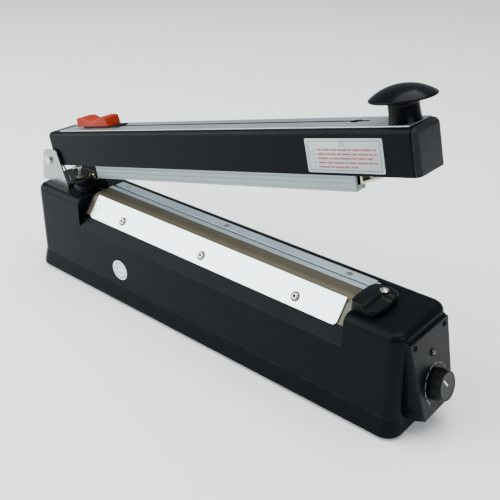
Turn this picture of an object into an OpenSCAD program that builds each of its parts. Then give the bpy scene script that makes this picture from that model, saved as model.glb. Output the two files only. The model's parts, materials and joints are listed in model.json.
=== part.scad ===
// Bench impulse heat sealer with a sliding film cutter, shown with its arm open.

/* [Base] */
// Length of the base housing at its foot
base_len = 448; // [430:1:470]
// Depth of the base housing at its foot
base_dep = 81; // [78:1:88]
// Height of the base housing
base_high = 91.6; // [88:0.2:100]
// Wall thickness of both housings
wall = 2.5; // [2:0.1:3]
// Radius of the housing's upright corners
corner_r = 12; // [10:0.5:14]
// Radius of the housing's top edges
crown_r = 7; // [5:0.5:8]
// Height of the rubber feet under the rim
foot_high = 3; // [2:0.5:6]

/* [Seal jaw] */
// Angle of the sloped front of the jaw
slope_deg = 52; // [48:1:56]
// Left end of the jaw recess
notch_left = -151; // [-152:0.5:-149]
// Right end of the jaw recess
notch_right = 169.5; // [167:0.5:172]
// Height of the shelf that the jaw stands on
shelf_z = 80; // [78:0.5:82]
// Height of the top of the jaw
jaw_top = 91.9; // [91.7:0.1:92]
// Length of the clamp plate
plate_len = 300; // [280:5:300]
// Width of the clamp plate
plate_wid = 24; // [20:0.5:25]
// Depth from front to back of the cutter's groove
groove_wid = 2.8; // [2.5:0.1:3.2]

/* [Arm] */
// Angle of the open arm
open_deg = 13.4; // [8:0.1:20]
// Length of the arm housing
arm_len = 429; // [425:0.5:432]
// Depth of the arm housing
arm_dep = 37.5; // [36:0.5:39]
// Height of the arm housing
arm_high = 34.3; // [33:0.1:36]
// Radius of the arm's top edges
arm_r = 5; // [3:0.5:6]
// Length of the pressure bar
bar_len = 315; // [300:1:316]
// Depth of the pressure bar
bar_dep = 12.6; // [11:0.1:13]
// Diameter of the mushroom handle's cap
cap_dia = 48; // [44:1:52]
// Travel of the cutter
cutter_travel = 270; // [200:5:275]

/* [Hinge] */
// Radius of the hinge pin
pin_r = 3; // [2.5:0.1:3.5]
// Height of the hinge pin over the base's rim
pin_z = 115.8; // [115:0.1:117]
// Distance of the hinge pin from the middle of the base
pin_x = -209.7; // [-211:0.1:-208]
// Running clearance round a pin or a rod
play = 0.05; // [0.03:0.01:0.1]

/* [Control end] */
// Angle of the control panel from upright
panel_deg = 13.6; // [10:0.2:16]
// Radius of the timer knob
knob_r = 12.5; // [11:0.5:14]
// Length of the timer knob
knob_len = 8.6; // [7:0.2:10]
// Radius of the indicator lamp
lamp_r = 2.6; // [2:0.1:3.5]

/* [Hidden] */
$fn = 48;
e = 0.01;

// The origin lies on the desk, under the middle of the object's overall length.
middle_x = 11.1;
body_len = base_len - 6;
body_dep = base_dep - 8;
skirt_z = 16;
draft_deg = 0.8;
in_len = body_len - 2 * wall;
in_dep = body_dep - 2 * wall;
roof = base_high - wall;
slope_y = -36;
slope_z = 63;
trough_y = 24.9;
groove_y = 12.5;
groove_deep = 7;
lip_rise = 0.5;
rail_t = 1.4;
rail_y = 19.2;
cloth_t = 0.25;
plate_s = 13;
lip_y = [5.5, groove_y - groove_wid / 2];
jaw_left = notch_left + 0.2;
jaw_right = notch_right - 4.5;
plate_x = 8.5;
rail_left = notch_left + 0.5;
rail_right = 162;
screw_x = [-96.9, 8.8, 114.8];
screw_s = plate_s + 8.7;
rail_screw_x = [-136, 1, 138];
foot_at = [[-196, -24], [-196, 24], [196, -24], [196, 24]];
post_at = [[-212, -26], [-212, 26], [212, -26], [212, 26]];
gland_at = [186, 24];
// Left end, right end and front of each end block, and the pocket inside it
left_block = [-174, -155.8, -24];
right_block = [165.5, 192, -26];
block_back = 12;
block_top = 100.6;
block_screw_x = [-164, 181];
left_pocket = [-170.8, -159];
right_pocket = [171.5, 185];
pocket_y = [-12, 0.3];
gland_r = 6;

// Arm places are measured along the arm from the hinge pin (a) and square to it (h).
arm_a = 1.9;
arm_h = -6.5;
arm_top = arm_h + arm_high;
arm_in = arm_dep / 2 - wall;
strip_t = 0.6;
slot_y = 2.3;
slot_wid = 3.4;
keyhole_a = 371.3;
slot_a = [44, 383];
bar_a = 54.4;
bar_h = [-23.2, -2];
pad_t = 2.5;
bar_grooves = [-12.4, -16.5, -20.6];
lug_a = [104, 213, 322];
handle_a = 413.4;
blade_a = 67;
blade_y = 12.25;
blade_t = 0.5;
carrier_h = 14;
rod_x = 22;
striker_h = -12;

// The panel's places are measured down from the middle of its top edge.
panel_top = [224, 84];
panel_high = 67.9;
panel_t = 2;
lamp_s = 18.6;
dial_s = 45.8;

// Hand-laid routes of the wires, each from one sub-part to the next.
wire_routes = [
    [[176, -4, 9.5], [168, -6, 10], [160, -16, 16], [157, -24, 26], [140, -29, 34], [122, -30, 40], [104, -26, 38],
     [106, -3, 34], [107, 3, 24], [107, 3, 16]],
    [[150, -2, 16], [158, 4, 24], [172, 6, 42], [190, 2, 44], [206, -3, 40], [213, -4, 39]],
    [[68, 4, 16], [60, 12, 22], [44, 20, 24], [24, 22, 26], [2, 24, 31], [-6, 26, 36]],
    [[-69, 10, 36], [-82, 16, 44], [-110, 20, 52], [-150, 16, 52], [-172, 8, 50], [-179, 1, 50], [-180, -2, 53],
     [-180, -2, 55.8]],
    [[68, -6, 16], [54, -20, 20], [30, -31, 14], [-20, -31, 10], [-90, -24, 12], [-150, -8, 40], [-184, -6.5, 46],
     [-189, -3, 51], [-189, -2, 55.8]]
];

coil_r = 6;
coil_wire = 1;
coil_turns = 7;

function arc(c, r, from, to, n = 10) =
    [for (i = [0:n]) let (t = from + (to - from) * i / n) [c[0] + r * cos(t), c[1] + r * sin(t)]];
function slope_at(s, out = 0) =
    [slope_y + s * cos(slope_deg) - out * sin(slope_deg),
     slope_z + s * sin(slope_deg) + out * cos(slope_deg)];
// Crown of the jaw: a round from the slope into the flat top, out mm above the metal.
function crown(r, z, out = 0) =
    let (s = (z - slope_z) / sin(slope_deg) - r * tan(slope_deg / 2),
         foot = slope_at(s),
         c = [foot[0] + r * sin(slope_deg), foot[1] - r * cos(slope_deg)])
    arc(c, r + out, 90 + slope_deg, 90, 12);

// Places a sub-part of the base, modelled from the rim of the housing.
module placed() {
    translate([-middle_x, 0, foot_high]) children();
}
// Places a sub-part of the arm, modelled level with the hinge pin at the origin.
module on_arm() {
    placed() translate([pin_x, 0, pin_z]) rotate([0, -open_deg, 0]) children();
}
// Flat frame on the jaw's slope: y runs up the slope and z points out of it.
module on_slope() {
    placed() translate([0, slope_y, slope_z]) rotate([slope_deg, 0, 0]) children();
}
// Flat frame on the control panel: y runs up the panel and z points out of it.
module on_panel() {
    placed() translate([panel_top[0], 0, panel_top[1]]) rotate([90 - panel_deg, 0, 90]) children();
}
module along_x(from, to) {
    translate([from, 0, 0]) rotate([90, 0, 90]) linear_extrude(to - from) children();
}
module along_y(from, to) {
    translate([0, to, 0]) rotate([90, 0, 0]) linear_extrude(to - from) children();
}
module rounded_plate(size, r) {
    for (s = [[1, 0], [0, 1]])
        translate([-size[0] / 2 + s[0] * r, -size[1] / 2 + s[1] * r, 0])
            cube([size[0] - 2 * s[0] * r, size[1] - 2 * s[1] * r, size[2]]);
    for (x = [-1, 1], y = [-1, 1])
        translate([x * (size[0] / 2 - r), y * (size[1] / 2 - r), 0]) cylinder(r = r, h = size[2]);
}
// Box with upright round corners and a rounded top, from z = low to z = high.
module crowned_box(len, dep, low, high, rv, rt, spread = [0, 0]) {
    hull() {
        for (x = [-1, 1], y = [-1, 1]) {
            translate([x * (len / 2 - rv), y * (dep / 2 - rv), high - rt])
                rotate_extrude($fn = 32) intersection() {
                    translate([rv - rt, 0]) circle(r = rt, $fn = 32);
                    translate([0, -rt]) square([rv, 2 * rt]);
                }
            translate([x * ((len + spread[0]) / 2 - rv), y * ((dep + spread[1]) / 2 - rv), low])
                cylinder(r = rv, h = 1, $fn = 32);
        }
    }
}
module pan_screw(r, len, head_r, head_h) {
    translate([0, 0, -len]) cylinder(r = r, h = len + e);
    difference() {
        intersection() {
            cylinder(r = head_r, h = head_h);
            translate([0, 0, head_h - head_r * 1.6]) sphere(r = head_r * 1.6);
        }
        for (a = [0, 90]) rotate([0, 0, a])
            translate([-head_r * 0.55, -head_r * 0.11, head_h * 0.45]) cube([head_r * 1.1, head_r * 0.22, head_h]);
    }
}
// Round wire along a list of points, with n sides.
module wire(path, r, n = 8, ref = [0.21, 0.34, 0.92]) {
    last = len(path) - 1;
    rings = [for (i = [0:last])
        let (t = path[min(i + 1, last)] - path[max(i - 1, 0)],
             u = cross(t, ref), v = cross(t, u))
        for (k = [0:n - 1]) path[i] + r * (cos(360 * k / n) * u / norm(u) + sin(360 * k / n) * v / norm(v))];
    sides = [for (i = [0:last - 1], k = [0:n - 1])
        let (a = i * n + k, b = i * n + (k + 1) % n) [a, b, b + n, a + n]];
    ends = [[for (k = [n - 1:-1:0]) k], [for (k = [0:n - 1]) last * n + k]];
    polyhedron(points = rings, faces = concat(sides, ends));
}
// Space in front of and above the jaw's shelf, let into the housing by g.
module notch(g = 0) {
    low = slope_at(-40, -g);
    heel = slope_at((shelf_z - slope_z) / sin(slope_deg), -g);
    along_x(notch_left - g, notch_right + g)
        polygon([[low[0], low[1]],
                 [heel[0] - g / tan(slope_deg) + g * 0.2, shelf_z - g],
                 [trough_y + g, shelf_z - g], [trough_y + g, 130], [low[0], 130]]);
}
// Wedge that carries the control panel, drawn in by g on every side.
module wedge(g = 0) {
    top = panel_top - panel_t * [cos(panel_deg), sin(panel_deg)];
    foot = top + (panel_high - g) * [sin(panel_deg), -cos(panel_deg)];
    intersection() {
        along_y(-40, 40)
            polygon([[200, top[1] + 1 - g], [top[0] - g - 1, top[1] + 1 - g], [top[0] - g, top[1] - g],
                     [foot[0] - g, foot[1]], [foot[0] - 7 - g, foot[1] - 3 + g / 2], [200, 10 + g]]);
        along_x(190, 250)
            polygon([[-28.5 + g, 90], [28.5 - g, 90], [28.5 - g, 84], [22 - g, 18], [22 - g, 0],
                     [-22 + g, 0], [-22 + g, 18], [-28.5 + g, 84]]);
    }
}

module base_housing() {
    color([0.11, 0.12, 0.13]) placed() difference() {
        union() {
            difference() {
                union() {
                    crowned_box(body_len, body_dep - 1.5, 10, base_high, corner_r, crown_r, [2, 2]);
                    hull() {
                        rounded_plate([base_len, base_dep, 3], corner_r + 2, $fn = 32);
                        rounded_plate([body_len + 2, body_dep + 0.5, skirt_z], corner_r, $fn = 32);
                    }
                    wedge();
                }
                difference() {
                    translate([0, 0, -1]) rounded_plate([in_len, in_dep - 2, roof + 1], corner_r - wall);
                    notch(wall);
                }
                wedge(wall);
                notch();
                translate([0, 0, -1]) rounded_plate([base_len - 8, base_dep - 8, 3], corner_r - 1);
            }
            for (p = post_at) translate([p[0], p[1], 2]) cylinder(r = 4.5, h = roof - 2);
        }
        for (p = post_at) translate([p[0], p[1], -1]) cylinder(r = 1.55, h = 14);
        // Seat and hole of the push rod's guide, and holes for the hinge bracket's screws
        translate([pin_x + rod_x, -2, roof - 1]) cylinder(r = 3.45, h = wall + 2);
        for (x = [-216, -187], y = [-13, 13]) translate([x, y, roof - 1]) cylinder(r = 1.6, h = wall + 2);
        // Hole for the mains cord's gland in the back wall
        translate([gland_at[0], 20, gland_at[1]]) rotate([-90, 0, 0]) cylinder(r = gland_r, h = 30);
        // Holes through the wedge's face for the lamp, the timer and the panel's screws
        translate([panel_top[0], 0, panel_top[1]]) rotate([90 - panel_deg, 0, 90]) {
            translate([0, -lamp_s, -12]) cylinder(r = lamp_r + 0.6, h = 20);
            translate([0, -dial_s, -12]) cylinder(r = 9, h = 20);
            for (x = [-22, 22]) translate([x, -5, -7]) cylinder(r = 1.25, h = 12);
        }
        // Screw holes under the clamp plate and the end blocks
        translate([0, slope_y, slope_z]) rotate([slope_deg, 0, 0])
            for (x = screw_x) translate([x, screw_s, -9]) cylinder(r = 1.6, h = 12);
        for (x = block_screw_x) translate([x, 2, roof - 2]) cylinder(r = 1.6, h = wall + 4);
    }
}
module bottom_plate() {
    color([0.55, 0.57, 0.58]) placed() difference() {
        translate([0, 0, 0.5]) rounded_plate([base_len - 8.6, base_dep - 8.6, 1.5], corner_r - 1.3);
        for (p = concat(post_at, foot_at)) translate([p[0], p[1], -1]) cylinder(r = 1.7, h = 4);
        for (x = [-150:12:-90], y = [-10, 10]) translate([x, y, -1]) cylinder(r = 2.2, h = 4);
    }
}
module bottom_plate_screws() {
    color([0.72, 0.73, 0.72]) placed()
        for (p = post_at) translate([p[0], p[1], 0.5]) rotate([180, 0, 0]) pan_screw(1.5, 9, 2.8, 1.8);
}
module rubber_feet() {
    color([0.07, 0.07, 0.07]) placed() for (p = foot_at) translate([p[0], p[1], -foot_high]) {
        difference() {
            cylinder(r1 = 7.6, r2 = 8.5, h = foot_high + 0.5);
            translate([0, 0, -1]) cylinder(r = 3.4, h = 2);
        }
        translate([0, 0, foot_high + 0.4]) cylinder(r = 1.6, h = 3);
        translate([0, 0, foot_high + 2.05]) cylinder(r = 3, h = 1.2);
    }
}
module control_panel() {
    color([0.13, 0.14, 0.15]) on_panel() difference() {
        translate([0, 0, -panel_t]) linear_extrude(panel_t)
            polygon([[-28.5, 0], [-22, -panel_high], [22, -panel_high], [28.5, 0]]);
        translate([0, -lamp_s, -4]) cylinder(r = lamp_r, h = 8);
        translate([0, -dial_s, -4]) cylinder(r = 3.55, h = 8);
        for (x = [-22, 22]) translate([x, -5, -4]) cylinder(r = 1.6, h = 8);
    }
}
module panel_screws() {
    color([0.16, 0.16, 0.17]) on_panel()
        for (x = [-22, 22]) translate([x, -5, 0]) pan_screw(1.2, 7, 2.4, 1.4);
}
module indicator_lamp() {
    color([0.45, 0.08, 0.06]) on_panel() translate([0, -lamp_s, 0]) {
        translate([0, 0, -12]) cylinder(r = lamp_r - 0.05, h = 12);
        intersection() {
            cylinder(r = lamp_r + 0.6, h = 3);
            translate([0, 0, -lamp_r * 0.6]) sphere(r = lamp_r * 1.45);
        }
    }
}
module potentiometer_body() {
    color([0.6, 0.62, 0.62]) on_panel() translate([0, -dial_s, 0]) difference() {
        union() {
            translate([0, 0, -14]) cylinder(r = 8.4, h = 11.8);
            translate([0, 0, -3]) cylinder(r = 3.5, h = 4.5);
            translate([-5, -13, -12]) cube([10, 6, 1]);
        }
        translate([0, 0, -10]) cylinder(r = 1.5 + play, h = 20);
    }
}
module potentiometer_shaft() {
    color([0.7, 0.71, 0.7]) on_panel() translate([0, -dial_s, -9.8]) cylinder(r = 1.5, h = 16.5);
}
module timer_knob() {
    color([0.06, 0.065, 0.07]) on_panel() translate([0, -dial_s, 0]) difference() {
        union() {
            translate([0, 0, 1.2]) cylinder(r1 = knob_r + 0.4, r2 = knob_r - 0.3, h = knob_len - 0.6);
            translate([0, 0, knob_len + 0.6]) cylinder(r1 = knob_r - 0.3, r2 = knob_r - 1.2, h = 0.8);
        }
        cylinder(r = 4.6, h = 2.4);
        translate([0, 0, 2]) cylinder(r = 1.5 + e, h = 5);
        rotate([0, 0, 125]) translate([1, -0.65, knob_len + 1]) cube([7.4, 1.3, 1]);
    }
}
module knob_pointer() {
    color([0.9, 0.9, 0.88]) on_panel() translate([0, -dial_s, 0])
        rotate([0, 0, 125]) translate([1, -0.65, knob_len + 1]) cube([7.4, 1.3, 0.5]);
}

module seal_bar() {
    heel = (shelf_z - slope_z) / sin(slope_deg);
    top = crown(14, jaw_top);
    rail_z = jaw_top + lip_rise - rail_t;
    color([0.66, 0.7, 0.72]) placed() difference() {
        along_x(jaw_left, jaw_right) difference() {
            polygon(concat([slope_at(heel)], top,
                [[lip_y[0], jaw_top], [lip_y[0], jaw_top + lip_rise], [lip_y[1], jaw_top + lip_rise],
                 [lip_y[1], jaw_top - groove_deep], [groove_y + groove_wid / 2, jaw_top - groove_deep],
                 [groove_y + groove_wid / 2, rail_z], [trough_y - 0.3, rail_z],
                 [trough_y - 0.3, shelf_z]]));
            // Hollow chambers of the extrusion
            polygon([[-13.5, shelf_z + 2], [-6.5, jaw_top - 3.4], [6, jaw_top - 3.4], [6, shelf_z + 2]]);
            translate([groove_y + 3.6, shelf_z + 2]) square([7.4, 7.4]);
        }
        translate([0, slope_y, slope_z]) rotate([slope_deg, 0, 0])
            for (x = screw_x) translate([x, screw_s, -9]) cylinder(r = 1.6, h = 12);
        for (x = rail_screw_x) translate([x, rail_y, jaw_top - 5]) cylinder(r = 1.6, h = 6);
        for (x = [jaw_left - 1, jaw_right - 5]) translate([x, -7.5, jaw_top - 0.9]) cube([6, 10, 2]);
    }
}
module element_insulation() {
    color([0.78, 0.76, 0.68]) placed()
        translate([jaw_left + 6, -6.5, jaw_top]) cube([jaw_right - jaw_left - 12, 9, 0.15]);
}
module heating_element() {
    color([0.6, 0.55, 0.5]) placed() {
        translate([jaw_left + 6.5, -3, jaw_top + 0.15]) cube([jaw_right - jaw_left - 13, 3, 0.1]);
        for (x = [[left_pocket[1] - 0.4, jaw_left + 7], [jaw_right - 7, right_pocket[0] + 1]])
            translate([x[0], -3, jaw_top + 0.15]) cube([x[1] - x[0], 3, 0.1]);
    }
}
module ptfe_cloth() {
    outer = crown(14, jaw_top, 0.3 + cloth_t);
    inner = crown(14, jaw_top, 0.3);
    color([0.42, 0.38, 0.29]) difference() {
        placed() along_x(notch_left + 1, notch_right - 3.5)
            polygon(concat([slope_at(plate_s + 2, 0.05 + cloth_t)], outer,
                [[lip_y[0] - 0.1, jaw_top + 0.3 + cloth_t], [lip_y[0] - 0.1, jaw_top + 0.3]],
                [for (i = [len(inner) - 1:-1:0]) inner[i]], [slope_at(plate_s + 2, 0.05)]));
        on_slope() for (x = screw_x) translate([x, screw_s, -2]) cylinder(r = 1.8, h = 5);
    }
}
module clamp_plate() {
    color([0.88, 0.9, 0.9]) on_slope() difference() {
        translate([plate_x, plate_s + plate_wid / 2, 0.6]) {
            rounded_plate([plate_len, plate_wid, 1.2], 4);
            translate([-plate_len / 2, 0, 0]) cube([plate_len, plate_wid / 2, 1.2]);
        }
        for (x = screw_x) translate([x, screw_s, -1]) cylinder(r = 1.7, h = 4);
    }
}
module clamp_plate_screws() {
    color([0.8, 0.81, 0.8]) on_slope()
        for (x = screw_x) translate([x, screw_s, 1.8]) pan_screw(1.5, 8, 3.3, 1.9);
}
module rear_rail() {
    front = groove_y + groove_wid / 2;
    top = jaw_top + lip_rise;
    color([0.72, 0.76, 0.79]) placed() difference() {
        translate([rail_left, front, top - rail_t]) cube([rail_right - rail_left, trough_y - 0.3 - front, rail_t]);
        for (x = rail_screw_x) translate([x, rail_y, top]) {
            translate([0, 0, -rail_t - 1]) cylinder(r = 1.7, h = 4);
            translate([0, 0, -1.05]) cylinder(r1 = 1.7, r2 = 3.1, h = 1.1);
        }
    }
}
module rear_rail_screws() {
    top = jaw_top + lip_rise;
    color([0.78, 0.79, 0.78]) placed() for (x = rail_screw_x) translate([x, rail_y, top]) difference() {
        union() {
            translate([0, 0, -5.2]) cylinder(r = 1.5, h = 4.3);
            translate([0, 0, -1]) cylinder(r1 = 1.5, r2 = 2.9, h = 1);
        }
        for (a = [20, 110]) rotate([0, 0, a]) translate([-1.6, -0.35, -0.8]) cube([3.2, 0.7, 2]);
    }
}
// Black moulded block over an end of the jaw, hollow over the element's terminal.
module end_block(block, pocket, screw_x) {
    mid = [(block[0] + block[1]) / 2, (block[2] + block_back) / 2, 0];
    difference() {
        translate(mid)
            crowned_box(block[1] - block[0], block_back - block[2], base_high + 0.05, block_top, 6, 4.5);
        translate([pocket[0], pocket_y[0], base_high - 1])
            cube([pocket[1] - pocket[0], pocket_y[1] - pocket_y[0], 6.5]);
        translate([screw_x, 2, base_high - 1]) cylinder(r = 1.6, h = 12);
    }
}
module right_end_block() {
    color([0.08, 0.085, 0.09]) placed() difference() {
        end_block(right_block, right_pocket, block_screw_x[1]);
        // Clearance over the jaw's end and slit for the element
        translate([right_block[0] - 5, -18, base_high - 6]) cube([9.1, 42, 7.9]);
        translate([right_block[0] + 3, -7, base_high - 1]) cube([5, 7.3, 2.8]);
    }
}
module left_end_block() {
    color([0.08, 0.085, 0.09]) placed() difference() {
        end_block(left_block, left_pocket, block_screw_x[0]);
        translate([left_pocket[1] - 1, -7, base_high - 1]) cube([10, 7.3, 2.8]);
    }
}
module end_block_screws() {
    color([0.8, 0.8, 0.79]) placed()
        for (x = block_screw_x) translate([x, 2, block_top]) pan_screw(1.5, 10.5, 3.6, 2);
}
module element_terminals() {
    color([0.78, 0.62, 0.28]) placed() for (x = [left_pocket[1] - 5.5, right_pocket[0] + 1.1])
        translate([x, -4.6, base_high + 0.2]) {
            cube([5, 4.6, 1.2]);
            translate([0.2, 0.8, 1.1]) cube([4.6, 3.4, 2.8]);
        }
}
// Closely wound tension springs beside the terminals, each a tube with a rounded groove between turns.
module tension_springs() {
    turns = 9;
    pitch = 1;
    tube = [for (i = [0:turns - 1]) each arc([1.1, (i + 0.5) * pitch], pitch / 2, -80, 80, 5)];
    color([0.7, 0.71, 0.72]) placed() for (x = [left_pocket[0] + 1, right_pocket[0] + 1.5])
        translate([x, -8.5, base_high + 1.9]) rotate([0, 90, 0])
            rotate_extrude() polygon(concat([[0.7, 0]], tube, [[0.7, turns * pitch]]));
}

module ear_outline() {
    polygon([[-225, base_high], [-182, base_high], [-196.2, 127], [-199.5, 128.6],
             [-215.5, 125.6], [-218.4, 122.2]]);
}
module hinge_bracket() {
    color([0.62, 0.65, 0.64]) placed() difference() {
        union() {
            translate([-220, -22, base_high]) cube([37, 44, 2]);
            for (y = [-22, 20]) along_y(y, y + 2) ear_outline();
        }
        translate([pin_x, -30, pin_z]) rotate([-90, 0, 0]) cylinder(r = pin_r + e, h = 60);
        for (x = [-216, -187], y = [-13, 13]) translate([x, y, 80]) cylinder(r = 1.8, h = 20);
        translate([pin_x + rod_x, -2, 80]) cylinder(r = 5.2, h = 20);
    }
}
module hinge_bracket_screws() {
    color([0.76, 0.68, 0.34]) placed()
        for (x = [-216, -187], y = [-13, 13])
            translate([x, y, base_high + 2]) pan_screw(1.5, 7, 3.1, 2.2);
}
module hinge_pin() {
    color([0.7, 0.71, 0.71]) placed() translate([pin_x, -24.4, pin_z]) rotate([-90, 0, 0]) difference() {
        union() {
            cylinder(r = pin_r, h = 48.8);
            cylinder(r = pin_r + 1.4, h = 2.3);
        }
        translate([0, 0, 46.7]) difference() {
            cylinder(r = 6, h = 0.9);
            cylinder(r = 2.2, h = 3);
        }
    }
}
module pin_clips() {
    color([0.35, 0.36, 0.37]) placed() translate([pin_x, 22.35, pin_z]) rotate([-90, 0, 0]) difference() {
        cylinder(r = 5.2, h = 0.7);
        translate([0, 0, -1]) cylinder(r = 2.25, h = 3);
        translate([-1.6, -8, -1]) cube([3.2, 8, 3]);
    }
}
module return_spring() {
    coil = [for (i = [0:coil_turns * 12])
        [coil_r * cos(30 * i), 10 - 20 * i / (coil_turns * 12), coil_r * sin(30 * i)]];
    color([0.83, 0.84, 0.84]) placed() translate([pin_x, 0, pin_z])
        wire(concat([[30, 10, 9.5]], [[14, 10, 5.7]], [for (i = [2:len(coil) - 3]) coil[i]],
            [[coil_r + 2.5, -11.5, -3], [16, -12, -13], [19.5, -12, -20.8]]), coil_wire, 8, [0, 1, 0]);
}

module transformer_core() {
    color([0.35, 0.34, 0.33]) placed() translate([-64, -18, 4]) difference() {
        union() {
            cube([66, 38, 55]);
            for (i = [0:8]) translate([-0.3, 1 + i * 4, 0]) cube([66.6, 2, 55]);
        }
        for (x = [11, 44]) translate([x, -1, 11]) cube([11, 40, 33]);
    }
}
module transformer_winding() {
    color([0.72, 0.42, 0.2]) placed() translate([-31, 1, 31.5]) difference() {
        translate([-21.5, -29, -16]) cube([43, 58, 32]);
        translate([-11.2, -19.6, -17]) cube([22.4, 39.2, 34]);
    }
}
module transformer_bracket() {
    color([0.62, 0.64, 0.63]) placed() difference() {
        union() {
            translate([-65.9, -13, 59.1]) cube([69.8, 28, 1.2]);
            for (x = [-65.9, 2.7]) translate([x, -13, 2]) cube([1.2, 28, 57.5]);
            for (x = [-79, 2.7]) translate([x, -13, 2.05]) cube([14.3, 28, 1.2]);
        }
        for (x = [-73, 11]) translate([x, 1, 0]) cylinder(r = 2, h = 6);
    }
}
module transformer_screws() {
    color([0.75, 0.75, 0.72]) placed()
        for (x = [-73, 11]) translate([x, 1, 3.25]) pan_screw(1.9, 1.2, 3.6, 2.4);
}
module circuit_board() {
    color([0.1, 0.36, 0.2]) placed() difference() {
        translate([62, -27, 12]) cube([92, 54, 1.6]);
        for (x = [67, 149], y = [-22, 22]) translate([x, y, 10]) cylinder(r = 1.6, h = 5);
        for (x = [79, 100], y = [-15, -9]) translate([x, y, 10]) cylinder(r = 0.6, h = 5);
        for (x = [118, 138], y = [-2, 2]) translate([x, y + (x > 130 ? 8 : -10), 10]) cylinder(r = 0.5, h = 5);
    }
}
module board_standoffs() {
    color([0.85, 0.85, 0.82]) placed() for (x = [67, 149], y = [-22, 22]) translate([x, y, 2]) {
        cylinder(r = 3, h = 10);
        cylinder(r = 1.5, h = 14);
        translate([0, 0, 11.6]) cylinder(r = 2.4, h = 1.4);
    }
}
module board_relay() {
    color([0.12, 0.22, 0.45]) placed() translate([76, -18, 13.6]) {
        cube([28, 13, 16]);
        for (x = [3, 24], y = [3, 9]) translate([x, y, -2.6]) cylinder(r = 0.5, h = 3);
    }
}
module board_capacitor() {
    color([0.14, 0.15, 0.2]) placed() for (p = [[118, -10, 8, 22], [138, 8, 6, 16]])
        translate([p[0], p[1], 13.6]) {
            cylinder(r = p[2], h = p[3]);
            for (y = [-2, 2]) translate([0, y, -2.6]) cylinder(r = 0.4, h = 3);
        }
}
module microswitch_body() {
    color([0.1, 0.1, 0.11]) placed() translate([pin_x + rod_x, -2, 0]) difference() {
        translate([-7, -3.2, 56]) cube([20, 6.4, 10.4]);
        translate([0, 0, 62]) cylinder(r = 1.25, h = 6);
        for (x = [-3, 9]) translate([x, -10, 59]) rotate([-90, 0, 0]) cylinder(r = 1.2, h = 20);
    }
}
module switch_button() {
    color([0.8, 0.2, 0.15]) placed() translate([pin_x + rod_x, -2, 63]) cylinder(r = 1.2, h = 5.1);
}
module rod_guide() {
    color([0.78, 0.66, 0.32]) placed() translate([pin_x + rod_x, -2, base_high]) difference() {
        union() {
            cylinder(r = 4.6, h = 5, $fn = 6);
            translate([0, 0, -8]) cylinder(r = 3.4, h = 9);
            translate([0, 0, -7]) cylinder(r = 5.4, h = 4.4, $fn = 6);
        }
        translate([0, 0, -10]) cylinder(r = 1.5 + play, h = 20);
    }
}
module push_rod() {
    tip = pin_z + striker_h * cos(open_deg) + rod_x * sin(open_deg) - 0.9;
    color([0.5, 0.51, 0.52]) placed() translate([pin_x + rod_x, -2, 0]) {
        translate([0, 0, 74]) cylinder(r = 1.5, h = tip - 75);
        translate([0, 0, tip - 1.6]) cylinder(r = 2.8, h = 1.6);
    }
}
module cord_gland() {
    color([0.09, 0.09, 0.09]) placed() translate([gland_at[0], body_dep / 2, gland_at[1]])
        rotate([-90, 0, 0]) difference() {
            union() {
                translate([0, 0, -7]) cylinder(r = gland_r - 0.05, h = 8);
                translate([0, 0, 0.4]) cylinder(r = gland_r + 2, h = 2.4);
                translate([0, 0, -7.5]) cylinder(r = gland_r + 1.6, h = 3);
            }
            translate([0, 0, -10]) cylinder(r = 3.6, h = 20);
        }
}
module terminal_strip() {
    color([0.86, 0.86, 0.82]) placed() translate([176, -8, 2]) difference() {
        union() {
            cube([26, 16, 4]);
            for (i = [0:2]) translate([1 + i * 8.2, 0, 3.9]) cube([7.2, 16, 9]);
        }
        for (i = [0:2]) translate([4.6 + i * 8.2, -1, 8.5]) rotate([-90, 0, 0]) cylinder(r = 1.6, h = 20);
    }
}
module internal_wires() {
    color([0.75, 0.16, 0.12]) placed() for (route = wire_routes) wire(route, 1.1, 8);
}
module round_sticker() {
    color([0.84, 0.87, 0.88]) placed() translate([-92, -body_dep / 2, 34])
        rotate([90 - draft_deg, 0, 0]) cylinder(r = 10.2, h = 0.25);
}

module arm_shell_outer() {
    translate([arm_a + arm_len / 2, 0, 0]) crowned_box(arm_len, arm_dep, arm_h, arm_top, 5.4, arm_r);
}
module arm_housing() {
    mid_in = [arm_a + wall, arm_a + arm_len - 3 - wall];
    color([0.12, 0.13, 0.14]) on_arm() difference() {
        union() {
            difference() {
                arm_shell_outer();
                translate([mid_in[0], -arm_in, arm_h - 1])
                    cube([mid_in[1] - mid_in[0], 2 * arm_in, arm_high - wall + 1]);
            }
            for (a = lug_a) translate([a - 6, -arm_in - 0.5, bar_h[1] + 0.05]) cube([12, arm_in + 6.5, 7]);
            translate([handle_a - 8, -arm_in - 0.5, arm_h + 8]) cube([16, 2 * arm_in + 1, arm_high - 10]);
        }
        translate([arm_a + arm_len - 3, -30, arm_h - 5]) cube([10, 60, 60]);
        // Gap at the hinge end for the spring and the arm's bracket
        translate([arm_a - 1, -arm_in, arm_h - 1]) cube([8, 2 * arm_in, 17]);
        // Clearance round the hinge pin
        translate([0, -30, 0]) rotate([-90, 0, 0]) cylinder(r = pin_r + 0.5, h = 60);
        // Slot for the cutter's carrier and holes for the screws
        translate([slot_a[0] - 8, slot_y - slot_wid / 2 - 1, arm_top - 5])
            cube([slot_a[1] - slot_a[0] + 8, slot_wid + 2, 10]);
        for (a = lug_a) translate([a, 0, bar_h[1] - 2]) cylinder(r = 1.6, h = 12);
        translate([handle_a, 0, -20]) cylinder(r = 3.05, h = 80);
        translate([handle_a, 0, arm_h + 7]) cylinder(r = 6, h = 5);
    }
}
module arm_end_cap() {
    color([0.2, 0.21, 0.21]) on_arm() intersection() {
        arm_shell_outer();
        translate([arm_a + arm_len - 2.95, -30, arm_h - 5]) cube([10, 60, 60]);
    }
}
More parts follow.
